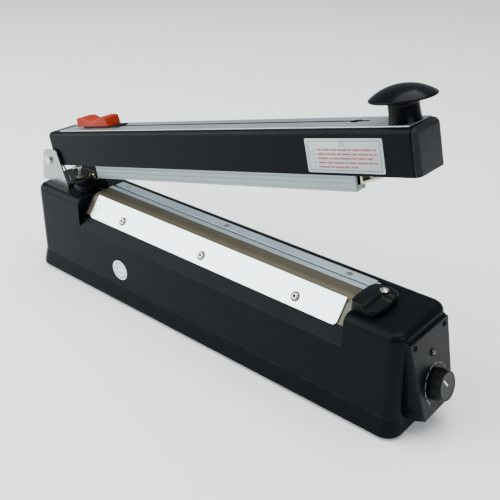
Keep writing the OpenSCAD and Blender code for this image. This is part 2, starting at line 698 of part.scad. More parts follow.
module arm_top_strip() {
    color([0.78, 0.81, 0.82]) on_arm() difference() {
        translate([22, -15, arm_top]) cube([403, 30, strip_t]);
        translate([slot_a[0], slot_y - slot_wid / 2, arm_top - 1]) cube([slot_a[1] - slot_a[0], slot_wid, 4]);
        translate([keyhole_a, slot_y, arm_top - 1]) cylinder(r = 4.4, h = 4);
        translate([handle_a, 0, arm_top - 1]) cylinder(r = 3.05, h = 4);
    }
}
module pressure_bar() {
    color([0.7, 0.73, 0.74]) on_arm() difference() {
        along_x(bar_a, bar_a + bar_len) difference() {
            translate([-bar_dep / 2, bar_h[0] + 0.2]) square([bar_dep, bar_h[1] - bar_h[0] - 0.2]);
            // Grooved front and back, hollow core and slot for the silicone strip
            for (z = bar_grooves, y = [-1, 1]) translate([y * bar_dep / 2 - 0.35, z - 0.3]) square([0.7, 0.6]);
            translate([-3.6, -18.5]) square([7.2, 14]);
            translate([-3.45, bar_h[0] - 1]) square([6.9, pad_t + 1.05]);
        }
        for (a = lug_a) translate([a, 0, -6]) cylinder(r = 1.6, h = 8);
    }
}
module silicone_strip() {
    color([0.72, 0.3, 0.2]) on_arm() translate([bar_a + 0.5, -3.4, bar_h[0]]) cube([bar_len - 1, 6.8, pad_t]);
}
module bar_screws() {
    color([0.76, 0.76, 0.74]) on_arm()
        for (a = lug_a) translate([a, 0, bar_h[1] + 7.05]) pan_screw(1.5, 10.5, 2.8, 1.8);
}
module bar_end_bracket() {
    color([0.8, 0.76, 0.58]) on_arm() difference() {
        union() {
            along_y(-13, -3) polygon([[379, -13.6], [380.4, -14], [397.5, -9.4], [400, -6.5], [400, -5], [396, -5],
                                      [396.4, -8], [381, -12.1], [380.4, -4], [379, -4]]);
            translate([379, -13, -5.4]) cube([21, 10, 1.2]);
        }
        translate([388, -8, -10]) cylinder(r = 1.3, h = 10);
    }
}
module handle_knob() {
    rim = 46;
    rise = 8;
    dome_r = (pow(cap_dia / 2 - 1, 2) + rise * rise) / (2 * rise);
    dome = [for (i = [0:14]) let (t = asin((cap_dia / 2 - 1) / dome_r) * i / 14)
        [dome_r * sin(t), rim + rise - dome_r * (1 - cos(t))]];
    color([0.07, 0.075, 0.08]) on_arm() translate([handle_a, 0, 0]) difference() {
        union() {
            hull() for (x = [-2.5, 2.5], y = [-5, 5])
                translate([x, y, arm_top + strip_t + 0.02]) cylinder(r = 7.8, h = 16, $fn = 32);
            rotate_extrude() polygon(concat(dome, arc([cap_dia / 2 - 1, rim - 0.6], 1, 40, -90, 5),
                [[16, rim - 2.6], [10, rim - 4.4], [0, rim - 4.4]]));
        }
        translate([0, 0, 20]) cylinder(r = 2.6, h = 20);
    }
}
module handle_bolt() {
    color([0.68, 0.69, 0.68]) on_arm() translate([handle_a, 0, arm_h + 8.2]) {
        cylinder(r = 4.6, h = 3.4, $fn = 6);
        cylinder(r = 2.55, h = 36);
    }
}
module instruction_label() {
    color([0.76, 0.79, 0.79]) on_arm() translate([338, -arm_dep / 2 - 0.22, -4.4]) cube([67, 0.2, 25.5]);
}
module arm_hinge_bracket() {
    color([0.1, 0.11, 0.12]) on_arm() difference() {
        union() {
            for (y = [-1, 1]) along_y(y > 0 ? 13.6 : -15.6, y > 0 ? 15.6 : -13.6)
                polygon(concat(arc([0, 0], 6.2, 250, 100, 8),
                        [[arm_a + wall + 0.2, 8.6], [arm_a + wall + 0.2, 17.6], [44, 17.6], [44, -3]]));
            translate([8, -15.6, 15.6]) cube([36, 31.2, 2]);
            translate([18, -15.6, -3]) cube([12, 31.2, 2]);
        }
        translate([0, -30, 0]) rotate([-90, 0, 0]) cylinder(r = pin_r + play, h = 60);
        translate([rod_x, -2, -10]) cylinder(r = 2.05, h = 20);
    }
}
module switch_striker() {
    color([0.78, 0.68, 0.34]) on_arm() translate([rod_x, -2, striker_h]) {
        cylinder(r = 2, h = 14);
        translate([0, 0, 5]) cylinder(r = 4, h = 3.2, $fn = 6);
    }
}

module cutter_knob() {
    color([0.8, 0.27, 0.13]) on_arm() translate([blade_a, slot_y - 1.3, arm_top + strip_t + 1.6]) difference() {
        hull() for (x = [-22.5, 22.5], y = [-6, 6], z = [1.3, 8])
            translate([x, y, z]) scale([1, 1, 0.5]) sphere(r = 2.4, $fn = 24);
        // Finger hollow across the top
        translate([0, 20, 30]) rotate([90, 0, 0]) cylinder(r = 26, h = 40, $fn = 96);
    }
}
module blade_carrier() {
    top = arm_top + strip_t + 0.15;
    color([0.13, 0.13, 0.14]) on_arm() translate([blade_a, 0, 0]) {
        translate([-16, slot_y - 8, top]) cube([52, 14, 1.3]);
        translate([-16, slot_y - slot_wid / 2 + 0.2, carrier_h + 8]) cube([32, slot_wid - 0.4, top - carrier_h - 7.9]);
        translate([-16, -4, carrier_h]) cube([32, 19.6, 8.2]);
        translate([-9, blade_y + blade_t + 0.05, -10]) cube([18, 2.8, carrier_h + 11]);
    }
}
module cutter_blade() {
    color([0.75, 0.77, 0.78]) on_arm() translate([blade_a, 0, 0]) along_y(blade_y, blade_y + blade_t)
        polygon([[-8, 8], [8, 8], [8, -21], [2.5, -27], [-2.5, -27], [-8, -21]]);
}

base_housing();
bottom_plate();
bottom_plate_screws();
rubber_feet();
control_panel();
panel_screws();
indicator_lamp();
potentiometer_body();
seal_bar();
element_insulation();
heating_element();
ptfe_cloth();
clamp_plate();
clamp_plate_screws();
rear_rail();
rear_rail_screws();
right_end_block();
left_end_block();
end_block_screws();
element_terminals();
tension_springs();
hinge_bracket();
hinge_bracket_screws();
hinge_pin();
pin_clips();
return_spring();
transformer_core();
transformer_winding();
transformer_bracket();
transformer_screws();
circuit_board();
board_standoffs();
board_relay();
board_capacitor();
microswitch_body();
rod_guide();
cord_gland();
terminal_strip();
internal_wires();
round_sticker();
arm_housing();
arm_end_cap();
arm_top_strip();
pressure_bar();
silicone_strip();
bar_screws();
bar_end_bracket();
handle_knob();
handle_bolt();
instruction_label();
arm_hinge_bracket();
switch_striker();
cutter_knob();
blade_carrier();
cutter_blade();
timer_knob();
knob_pointer();
potentiometer_shaft();
push_rod();
switch_button();
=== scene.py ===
import json
from math import cos, pi, radians, sin, sqrt

import bmesh
import bpy
import numpy as np
from mathutils import Matrix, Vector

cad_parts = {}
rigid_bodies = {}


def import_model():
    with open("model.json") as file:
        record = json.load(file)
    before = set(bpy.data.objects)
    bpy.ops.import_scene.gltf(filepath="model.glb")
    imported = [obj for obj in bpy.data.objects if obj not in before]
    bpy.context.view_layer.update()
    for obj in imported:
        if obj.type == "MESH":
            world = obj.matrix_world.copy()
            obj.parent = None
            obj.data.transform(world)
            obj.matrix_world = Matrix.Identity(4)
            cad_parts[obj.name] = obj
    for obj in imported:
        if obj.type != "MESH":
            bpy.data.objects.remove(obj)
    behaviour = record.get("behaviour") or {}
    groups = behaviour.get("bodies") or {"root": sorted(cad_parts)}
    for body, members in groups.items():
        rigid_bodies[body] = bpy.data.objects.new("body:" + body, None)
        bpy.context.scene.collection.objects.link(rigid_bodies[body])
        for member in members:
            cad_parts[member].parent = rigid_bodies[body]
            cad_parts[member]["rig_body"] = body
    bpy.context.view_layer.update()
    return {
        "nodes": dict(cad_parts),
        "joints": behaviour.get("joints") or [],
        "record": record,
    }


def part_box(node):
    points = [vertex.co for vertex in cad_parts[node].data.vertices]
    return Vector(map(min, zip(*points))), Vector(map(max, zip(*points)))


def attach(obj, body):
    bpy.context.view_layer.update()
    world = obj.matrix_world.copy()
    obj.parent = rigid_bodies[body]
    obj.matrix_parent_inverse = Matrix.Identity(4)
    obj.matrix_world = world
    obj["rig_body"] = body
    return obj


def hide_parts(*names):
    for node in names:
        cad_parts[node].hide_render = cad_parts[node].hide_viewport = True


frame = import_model()
nodes = frame["nodes"]
joints = {joint["name"]: joint for joint in frame["joints"]}
mm = 0.001
print("frame loaded:", len(nodes), "nodes")


# ---- places that the pieces are measured from

def nodePoints(name):
    # every corner of a node's mesh as one array
    mesh = nodes[name].data
    points = np.empty(len(mesh.vertices) * 3)
    mesh.vertices.foreach_get("co", points)
    return points.reshape(-1, 3)


class Place:
    # a flat frame: an origin and three square directions, the last one pointing out
    def __init__(self, origin, along, across, out):
        self.origin = np.array(origin, float)
        self.axes = np.array([along, across, out], float)

    def put(self, points):
        return self.origin + np.asarray(points, float) @ self.axes

    def box(self, name):
        # lowest and highest corner of a node, measured in this frame
        local = (nodePoints(name) - self.origin) @ self.axes.T
        return local.min(0), local.max(0)


armOpen = joints["arm_hinge"]["limits_rad"][1] if "limits_rad" in joints["arm_hinge"] else radians(13.4)
armPlace = Place(joints["arm_hinge"]["pos_m"], (cos(armOpen), 0, sin(armOpen)), (0, 1, 0), (-sin(armOpen), 0, cos(armOpen)))
dialOut = np.array(joints["timer_turn"]["axis"], float)
dialPlace = Place(joints["timer_turn"]["pos_m"], (0, 1, 0), (-dialOut[2], 0, dialOut[0]), dialOut)
flatPlace = Place((0, 0, 0), (1, 0, 0), (0, 1, 0), (0, 0, 1))


# ---- mesh helpers

def gridFaces(rows, columns, closeColumns=False):
    # one four-sided face between each pair of neighbouring rows and columns
    last = columns if closeColumns else columns - 1
    i, j = np.meshgrid(np.arange(rows - 1), np.arange(last), indexing="ij")
    k = (j + 1) % columns
    quads = np.stack([i * columns + j, i * columns + k, (i + 1) * columns + k, (i + 1) * columns + j], -1)
    return quads.reshape(-1, 4).tolist()


def newPiece(name, points, faces, body, material, smoothAngle=40):
    mesh = bpy.data.meshes.new(name)
    mesh.from_pydata(np.asarray(points).tolist(), [], faces)
    piece = bpy.data.objects.new(name, mesh)
    bpy.context.scene.collection.objects.link(piece)
    closeUp(mesh, smoothAngle)
    mesh.materials.append(material)
    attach(piece, body)
    return piece


def closeUp(mesh, smoothAngle):
    # doubles are merged, the faces turned outwards and shaded smooth up to an angle
    work = bmesh.new()
    work.from_mesh(mesh)
    bmesh.ops.remove_doubles(work, verts=work.verts, dist=2e-6)
    bmesh.ops.recalc_face_normals(work, faces=work.faces)
    work.to_mesh(mesh)
    work.free()
    mesh.shade_smooth()
    mesh.set_sharp_from_angle(angle=radians(smoothAngle))


def secondLook(piece, material, where):
    # faces whose centres pass the test take a second material
    piece.data.materials.append(material)
    centres = np.empty(len(piece.data.polygons) * 3)
    piece.data.polygons.foreach_get("center", centres)
    chosen = where(centres.reshape(-1, 3))
    piece.data.polygons.foreach_set("material_index", chosen.astype(np.int32))


def loftedRings(rings):
    # rings of equal length joined row by row, with a flat face on both ends
    count, columns = rings.shape[:2]
    faces = gridFaces(count, columns, closeColumns=True)
    faces.append(list(range(columns))[::-1])
    faces.append([(count - 1) * columns + i for i in range(columns)])
    return rings.reshape(-1, 3), faces


def roundedExtrusion(outline, halfWidth, roundRadius, steps=5):
    # an outline pushed both ways from its middle plane; near each side it draws in along a quarter circle
    edge = np.roll(outline, -1, 0) - np.roll(outline, 1, 0)
    inward = np.stack([-edge[:, 1], edge[:, 0]], -1)
    inward /= np.linalg.norm(inward, axis=1)[:, None]
    turn = np.linspace(0, pi / 2, steps + 1)
    side = halfWidth - roundRadius + roundRadius * np.sin(turn)
    drawn = roundRadius * (1 - np.cos(turn))
    side, drawn = np.concatenate([-side[::-1], side]), np.concatenate([drawn[::-1], drawn])
    flat = outline[None] + inward[None] * drawn[:, None, None]
    across = np.broadcast_to(side[:, None, None], flat.shape[:2] + (1,))
    return loftedRings(np.concatenate([flat[..., :1], across, flat[..., 1:]], -1))


def revolved(radius, height, columns, ridge=None):
    # a profile of radii and heights turned round the out axis; ridge is a share added to the radius at each angle
    turn = np.linspace(0, 2 * pi, columns, endpoint=False)
    spread = radius[:, None] * (np.ones(columns) + (0 if ridge is None else ridge))
    rings = np.stack([spread * np.cos(turn), spread * np.sin(turn), np.broadcast_to(height[:, None], spread.shape)], -1)
    return loftedRings(rings)


def thinBoxes(cells, low, high):
    # small slabs from (x, y, half length, half width, turn), joined in one mesh
    cells = np.array(cells, float)
    corner = np.array([[-1, -1], [1, -1], [1, 1], [-1, 1]], float)
    flat = corner[None] * cells[:, None, 2:4]
    c, s = np.cos(cells[:, 4])[:, None], np.sin(cells[:, 4])[:, None]
    x = cells[:, None, 0] + flat[..., 0] * c - flat[..., 1] * s
    y = cells[:, None, 1] + flat[..., 0] * s + flat[..., 1] * c
    points = np.concatenate([np.stack([x, y, np.full_like(x, z)], -1) for z in (low, high)], 1).reshape(-1, 3)
    one = np.array([[3, 2, 1, 0], [4, 5, 6, 7], [0, 1, 5, 4], [1, 2, 6, 5], [2, 3, 7, 6], [3, 0, 4, 7]])
    faces = (one[None] + 8 * np.arange(len(cells))[:, None, None]).reshape(-1, 4).tolist()
    return points, faces


def sweptTube(path, radius, sides):
    # a circle carried along a path; its two cross directions are turned with the path from ring to ring
    ahead = np.gradient(path, axis=0)
    ahead /= np.linalg.norm(ahead, axis=1)[:, None]
    first = np.cross(ahead, (0.21, 0.34, 0.92))
    first /= np.linalg.norm(first, axis=1)[:, None]
    second = np.cross(ahead, first)
    turn = np.linspace(0, 2 * pi, sides, endpoint=False)
    ring = np.cos(turn)[None, :, None] * first[:, None] + np.sin(turn)[None, :, None] * second[:, None]
    return loftedRings(path[:, None] + radius * ring)


def refined(node, material, bevel=0.0, angle=32, shortest=0.9, segments=3, smoothAngle=32, name=None):
    # a node's own shape, merged, with its sharp edges broken by a small round that catches the light
    source = nodes[node]
    work = bmesh.new()
    work.from_mesh(source.data)
    bmesh.ops.remove_doubles(work, verts=work.verts, dist=3e-6)
    bmesh.ops.dissolve_limit(work, angle_limit=radians(0.4), verts=work.verts, edges=work.edges)
    weights = [
        1.0 if edge.is_manifold and edge.calc_face_angle(0) > radians(angle) and edge.calc_length() > shortest * mm else 0.0
        for edge in work.edges
    ]
    mesh = bpy.data.meshes.new(name or node + "_finished")
    work.to_mesh(mesh)
    work.free()
    for extra in [a.name for a in mesh.attributes if a.name.startswith("custom_normal")]:
        mesh.attributes.remove(mesh.attributes[extra])
    if bevel:
        marks = mesh.attributes.new("bevel_weight_edge", "FLOAT", "EDGE")
        marks.data.foreach_set("value", weights)
    mesh.shade_smooth()
    mesh.set_sharp_from_angle(angle=radians(smoothAngle))
    mesh.materials.clear()
    mesh.materials.append(material)
    piece = bpy.data.objects.new(mesh.name, mesh)
    bpy.context.scene.collection.objects.link(piece)
    if bevel:
        edgeRound = piece.modifiers.new("edgeRound", "BEVEL")
        edgeRound.width = bevel * mm
        edgeRound.segments = segments
        edgeRound.limit_method = "WEIGHT"
        edgeRound.use_clamp_overlap = True
        edgeRound.harden_normals = False
    evenShade = piece.modifiers.new("evenShade", "WEIGHTED_NORMAL")
    evenShade.keep_sharp = True
    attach(piece, source["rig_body"])
    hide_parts(node)
    return piece


slotOf = {part["node"]: part["material_slot"] for part in frame["record"]["subparts"]}


# ---- shader groups: each is built once and placed in several materials

def newGroup(name, inputs, outputs):
    group = bpy.data.node_groups.new(name, "ShaderNodeTree")
    for label, kind, value in inputs:
        socket = group.interface.new_socket(label, in_out="INPUT", socket_type=kind)
        if value is not None:
            socket.default_value = value
    for label, kind in outputs:
        group.interface.new_socket(label, in_out="OUTPUT", socket_type=kind)
    return group, group.nodes.new("NodeGroupInput"), group.nodes.new("NodeGroupOutput")


def addMath(tree, operation, first, second=None, clamp=False):
    node = tree.nodes.new("ShaderNodeMath")
    node.operation = operation
    node.use_clamp = clamp
    for index, value in enumerate((first, second)):
        if value is None:
            continue
        if isinstance(value, (int, float)):
            node.inputs[index].default_value = value
        else:
            tree.links.new(value, node.inputs[index])
    return node.outputs[0]


def addNoise(tree, vector, scale, detail=3.0, roughness=0.55):
    node = tree.nodes.new("ShaderNodeTexNoise")
    node.inputs["Detail"].default_value = detail
    node.inputs["Roughness"].default_value = roughness
    tree.links.new(vector, node.inputs["Vector"])
    if isinstance(scale, (int, float)):
        node.inputs["Scale"].default_value = scale
    else:
        tree.links.new(scale, node.inputs["Scale"])
    return node.outputs[0]


def addRange(tree, value, low, high, toLow=0.0, toHigh=1.0):
    node = tree.nodes.new("ShaderNodeMapRange")
    node.inputs["From Min"].default_value = low
    node.inputs["From Max"].default_value = high
    node.inputs["To Min"].default_value = toLow
    node.inputs["To Max"].default_value = toHigh
    tree.links.new(value, node.inputs["Value"])
    return node.outputs[0]


def makeGrainGroup():
    # moulded or powder-coated skin: a fine noise with a coarser one under it, and rare pits
    group, given, out = newGroup("grainSkin", [("Vector", "NodeSocketVector", None), ("Scale", "NodeSocketFloat", 900.0)],
                                 [("Height", "NodeSocketFloat"), ("Patches", "NodeSocketFloat")])
    fine = addNoise(group, given.outputs[0], given.outputs[1], 4.0, 0.65)
    coarse = addNoise(group, given.outputs[0], addMath(group, "MULTIPLY", given.outputs[1], 0.22), 2.0)
    pits = addRange(group, addNoise(group, given.outputs[0], addMath(group, "MULTIPLY", given.outputs[1], 0.5)), 0.62, 0.72)
    mixed = addMath(group, "ADD", addMath(group, "MULTIPLY", fine, 0.6), addMath(group, "MULTIPLY", coarse, 0.4))
    group.links.new(addMath(group, "SUBTRACT", mixed, addMath(group, "MULTIPLY", pits, 0.3)), out.inputs[0])
    group.links.new(addRange(group, addNoise(group, given.outputs[0], 26.0, 3.0), 0.35, 0.7), out.inputs[1])
    return group


def makeBrushGroup():
    # drawn or brushed metal: noise stretched a hundred times along the first direction
    group, given, out = newGroup("brushedLines", [("Vector", "NodeSocketVector", None), ("Scale", "NodeSocketFloat", 1.0)],
                                 [("Streak", "NodeSocketFloat"), ("Cloud", "NodeSocketFloat")])
    stretch = group.nodes.new("ShaderNodeMapping")
    stretch.inputs["Scale"].default_value = (12.0, 2600.0, 2600.0)
    group.links.new(given.outputs[0], stretch.inputs["Vector"])
    lines = addNoise(group, stretch.outputs[0], given.outputs[1], 3.0, 0.7)
    group.links.new(lines, out.inputs[0])
    group.links.new(addRange(group, addNoise(group, given.outputs[0], 34.0, 4.0), 0.3, 0.72), out.inputs[1])
    return group


def makeWearGroup():
    # edges rubbed bare: where the rounded normal leaves the true one, broken up by a noise
    group, given, out = newGroup("edgeRub", [("Vector", "NodeSocketVector", None), ("Amount", "NodeSocketFloat", 0.5),
                                             ("Radius", "NodeSocketFloat", 0.0006)], [("Mask", "NodeSocketFloat")])
    bevel = group.nodes.new("ShaderNodeBevel")
    bevel.samples = 4
    group.links.new(given.outputs[2], bevel.inputs["Radius"])
    truth = group.nodes.new("ShaderNodeNewGeometry")
    dot = group.nodes.new("ShaderNodeVectorMath")
    dot.operation = "DOT_PRODUCT"
    group.links.new(bevel.outputs[0], dot.inputs[0])
    group.links.new(truth.outputs["Normal"], dot.inputs[1])
    turned = addRange(group, dot.outputs["Value"], 0.995, 0.93)
    broken = addRange(group, addNoise(group, given.outputs[0], 420.0, 5.0, 0.7), 0.36, 0.66)
    group.links.new(addMath(group, "MULTIPLY", addMath(group, "MULTIPLY", turned, broken), given.outputs[1], True), out.inputs[0])
    return group


def makeDustGroup():
    # dust lies where the surface faces up, thicker in soft patches
    group, given, out = newGroup("dustFilm", [("Vector", "NodeSocketVector", None), ("Amount", "NodeSocketFloat", 0.1)],
                                 [("Mask", "NodeSocketFloat")])
    truth = group.nodes.new("ShaderNodeNewGeometry")
    split = group.nodes.new("ShaderNodeSeparateXYZ")
    group.links.new(truth.outputs["Normal"], split.inputs[0])
    facing = addRange(group, split.outputs[2], 0.2, 1.0)
    patch = addRange(group, addNoise(group, given.outputs[0], 60.0, 6.0, 0.7), 0.35, 0.75)
    group.links.new(addMath(group, "MULTIPLY", addMath(group, "MULTIPLY", facing, patch), given.outputs[1], True), out.inputs[0])
    return group


def makeWeaveGroup():
    # plain weave: two waves at right angles, each lifted where the other sinks
    group, given, out = newGroup("glassWeave", [("Vector", "NodeSocketVector", None), ("Threads", "NodeSocketFloat", 1400.0)],
                                 [("Height", "NodeSocketFloat"), ("Stain", "NodeSocketFloat")])
    split = group.nodes.new("ShaderNodeSeparateXYZ")
    group.links.new(given.outputs[0], split.inputs[0])
    turns = addMath(group, "MULTIPLY", given.outputs[1], 2 * pi / 2)
    u = addMath(group, "SINE", addMath(group, "MULTIPLY", split.outputs[0], turns))
    v = addMath(group, "SINE", addMath(group, "MULTIPLY", split.outputs[1], turns))
    group.links.new(addRange(group, addMath(group, "MULTIPLY", u, v), -1.0, 1.0), out.inputs[0])
    group.links.new(addRange(group, addNoise(group, given.outputs[0], 45.0, 5.0, 0.6), 0.3, 0.7), out.inputs[1])
    return group


groups = {"grain": makeGrainGroup(), "brush": makeBrushGroup(), "wear": makeWearGroup(), "dust": makeDustGroup(),
          "weave": makeWeaveGroup()}
print("shader groups made:", ", ".join(groups))


# ---- materials

class Finish:
    # one material with its shader, its coordinates and short ways to place groups in it
    def __init__(self, name, coords="Object", turn=0.0):
        self.material = bpy.data.materials.new(name)
        self.material.use_nodes = True
        self.tree = self.material.node_tree
        self.shader = self.tree.nodes["Principled BSDF"]
        source = self.tree.nodes.new("ShaderNodeTexCoord").outputs[coords]
        if turn:
            lay = self.tree.nodes.new("ShaderNodeMapping")
            lay.inputs["Rotation"].default_value = (0.0, turn, 0.0)
            self.tree.links.new(source, lay.inputs["Vector"])
            source = lay.outputs[0]
        self.coords = source

    def place(self, key, **values):
        node = self.tree.nodes.new("ShaderNodeGroup")
        node.node_tree = groups[key]
        self.tree.links.new(self.coords, node.inputs["Vector"])
        for label, value in values.items():
            node.inputs[label].default_value = value
        return node.outputs

    def mix(self, mask, low, high):
        # from the low colour to the high one as the mask goes from 0 to 1
        node = self.tree.nodes.new("ShaderNodeMix")
        node.data_type = "RGBA"
        self.tree.links.new(mask, node.inputs["Factor"])
        for socket, value in ((node.inputs["A"], low), (node.inputs["B"], high)):
            pass
        colours = [s for s in node.inputs if s.type == "RGBA"]
        for socket, value in zip(colours, (low, high)):
            if isinstance(value, tuple):
                socket.default_value = (*value, 1.0)
            else:
                self.tree.links.new(value, socket)
        return [s for s in node.outputs if s.type == "RGBA"][0]

    def feed(self, socket, value):
        if isinstance(value, (int, float)):
            self.shader.inputs[socket].default_value = value
        elif isinstance(value, tuple):
            self.shader.inputs[socket].default_value = (*value, 1.0)
        else:
            self.tree.links.new(value, self.shader.inputs[socket])

    def bump(self, height, strength, distance):
        node = self.tree.nodes.new("ShaderNodeBump")
        node.inputs["Strength"].default_value = strength
        node.inputs["Distance"].default_value = distance
        self.tree.links.new(height, node.inputs["Height"])
        self.tree.links.new(node.outputs[0], self.shader.inputs["Normal"])

    def range(self, value, toLow, toHigh):
        return addRange(self.tree, value, 0.0, 1.0, toLow, toHigh)


def coatedSteel(name, colour, dim, rough, grain, bump, wear, dust, shine=0.06, speckle=0.0, bare=(0.16, 0.165, 0.165)):
    # powder coat: grained skin, softer where it was handled, rubbed to metal on its edges
    look = Finish(name)
    skin = look.place("grain", Scale=grain)
    rubbed = look.place("wear", Amount=wear)["Mask"]
    dusty = look.place("dust", Amount=dust)["Mask"]
    body = look.mix(look.range(skin["Height"], -0.6 * speckle, 1 + 0.9 * speckle) if speckle else skin["Patches"], dim, colour)
    look.feed("Base Color", look.mix(rubbed, look.mix(dusty, body, (0.12, 0.12, 0.115)), bare))
    look.shader.inputs["Specular IOR Level"].default_value = shine
    look.feed("Roughness", addMath(look.tree, "ADD", look.range(skin["Patches"], rough + 0.05, rough - 0.04),
                                   addMath(look.tree, "MULTIPLY", dusty, 0.35)))
    look.feed("Metallic", addMath(look.tree, "MULTIPLY", rubbed, 0.8))
    look.bump(skin["Height"], bump, 0.0004)
    return look.material


def drawnMetal(name, colour, dim, rough, lines=1.0, bump=0.12, turn=0.0, wear=0.0, metallic=1.0, dust=0.04):
    # bright metal with fine lines along its length and faint clouding
    look = Finish(name, turn=turn)
    drawn = look.place("brush", Scale=lines)
    dusty = look.place("dust", Amount=dust)["Mask"]
    body = look.mix(drawn["Streak"], dim, colour)
    look.feed("Base Color", look.mix(dusty, body, (0.55, 0.55, 0.53)))
    streaky = look.range(drawn["Streak"], rough + 0.09, rough - 0.06)
    look.feed("Roughness", addMath(look.tree, "ADD", streaky, look.range(drawn["Cloud"], 0.0, 0.07)))
    look.shader.inputs["Metallic"].default_value = metallic
    look.bump(drawn["Streak"], bump, 0.0002)
    return look.material


def platedSteel(name, colour, dim, rough, grain=700.0, bump=0.1, wear=0.25):
    # plated sheet or screw: crystal clouding in the plating and brighter edges
    look = Finish(name)
    skin = look.place("grain", Scale=grain)
    rubbed = look.place("wear", Amount=wear)["Mask"]
    body = look.mix(skin["Patches"], dim, colour)
    look.feed("Base Color", look.mix(rubbed, body, (0.86, 0.86, 0.84)))
    look.feed("Roughness", look.range(skin["Patches"], rough + 0.1, rough - 0.05))
    look.shader.inputs["Metallic"].default_value = 1.0
    look.bump(skin["Height"], bump, 0.0002)
    return look.material


def moulded(name, colour, dim, rough, grain=1500.0, bump=0.12, wear=0.0, dust=0.05, coat=0.0, worn=(0.1, 0.1, 0.1), shine=0.5):
    # moulded plastic or rubber: even skin, dulled patches, paler where an edge is rubbed
    look = Finish(name)
    skin = look.place("grain", Scale=grain)
    rubbed = look.place("wear", Amount=wear)["Mask"]
    dusty = look.place("dust", Amount=dust)["Mask"]
    body = look.mix(rubbed, look.mix(skin["Patches"], dim, colour), worn)
    look.feed("Base Color", look.mix(dusty, body, (0.2, 0.2, 0.195)))
    look.shader.inputs["Specular IOR Level"].default_value = shine
    look.feed("Roughness", addMath(look.tree, "ADD", look.range(skin["Patches"], rough + 0.06, rough - 0.04),
                                   addMath(look.tree, "MULTIPLY", dusty, 0.4)))
    look.shader.inputs["Coat Weight"].default_value = coat
    look.shader.inputs["Coat Roughness"].default_value = 0.12
    look.bump(skin["Height"], bump, 0.0003)
    return look.material


def coatedCloth(name):
    # brown coated glass cloth: weave in the bump, darker past a set distance along its profile, over the top
    look = Finish(name, coords="UV")
    woven = look.place("weave", Threads=clothValues["threadsPerMetre"])
    split = look.tree.nodes.new("ShaderNodeSeparateXYZ")
    look.tree.links.new(look.coords, split.inputs[0])
    overTop = addRange(look.tree, split.outputs[1], clothValues["darkerFrom"], clothValues["darkerTo"])
    pale = look.mix(woven["Stain"], clothValues["brownDim"], clothValues["brown"])
    dark = look.mix(woven["Stain"], clothValues["topBrownDim"], clothValues["topBrown"])
    tone = look.mix(overTop, pale, dark)
    look.feed("Base Color", look.mix(addMath(look.tree, "MULTIPLY", woven["Height"], 0.22), tone, (0.14, 0.12, 0.075)))
    look.feed("Roughness", look.range(woven["Stain"], 0.5, 0.38))
    look.bump(woven["Height"], 0.35, 0.00012)
    return look.material


def makeHatchGroup():
    # straight fine lines at a slant: a sine along one direction, roughened by a little noise
    group, given, out = newGroup("slantHatch", [("Vector", "NodeSocketVector", None), ("Lines", "NodeSocketFloat", 1600.0)],
                                 [("Height", "NodeSocketFloat")])
    split = group.nodes.new("ShaderNodeSeparateXYZ")
    group.links.new(given.outputs[0], split.inputs[0])
    slant = addMath(group, "ADD", addMath(group, "MULTIPLY", split.outputs[1], -0.75), addMath(group, "MULTIPLY", split.outputs[2], 0.66))
    wave = addMath(group, "SINE", addMath(group, "MULTIPLY", slant, addMath(group, "MULTIPLY", given.outputs[1], 2 * pi)))
    mixed = addMath(group, "ADD", wave, addMath(group, "MULTIPLY", addNoise(group, given.outputs[0], 1500.0), 0.8))
    group.links.new(addRange(group, mixed, -1.0, 1.6), out.inputs[0])
    return group


groups["hatch"] = makeHatchGroup()


def hatchedPlastic():
    # black plastic face with a fine hatch; its ridges take a paler colour and its grooves a darker one, as painted
    # highlight and painted shade
    look = Finish("hatchedFace")
    hatch = look.place("hatch", Lines=1150.0)["Height"]
    look.feed("Base Color", look.mix(hatch, (0.0016, 0.0022, 0.0025), (0.024, 0.027, 0.028)))
    look.feed("Roughness", look.range(hatch, 0.42, 0.3))
    look.shader.inputs["Specular IOR Level"].default_value = 0.16
    look.bump(hatch, 0.5, 0.0002)
    return look.material


def lampLens():
    # dark red lens that lets a little light through
    look = Finish("lampLens")
    skin = look.place("grain", Scale=500.0)
    look.feed("Base Color", look.mix(skin["Patches"], (0.018, 0.004, 0.004), (0.03, 0.006, 0.005)))
    look.feed("Roughness", look.range(skin["Patches"], 0.16, 0.08))
    look.shader.inputs["Coat Weight"].default_value = 0.4
    return look.material


clothValues = {"brown": (0.085, 0.07, 0.037), "brownDim": (0.064, 0.052, 0.027), "topBrown": (0.046, 0.036, 0.018),
               "topBrownDim": (0.032, 0.025, 0.012), "threadsPerMetre": 1500.0, "darkerFrom": 0.0268, "darkerTo": 0.0296,
               "wave": 0.035, "thick": 0.16}

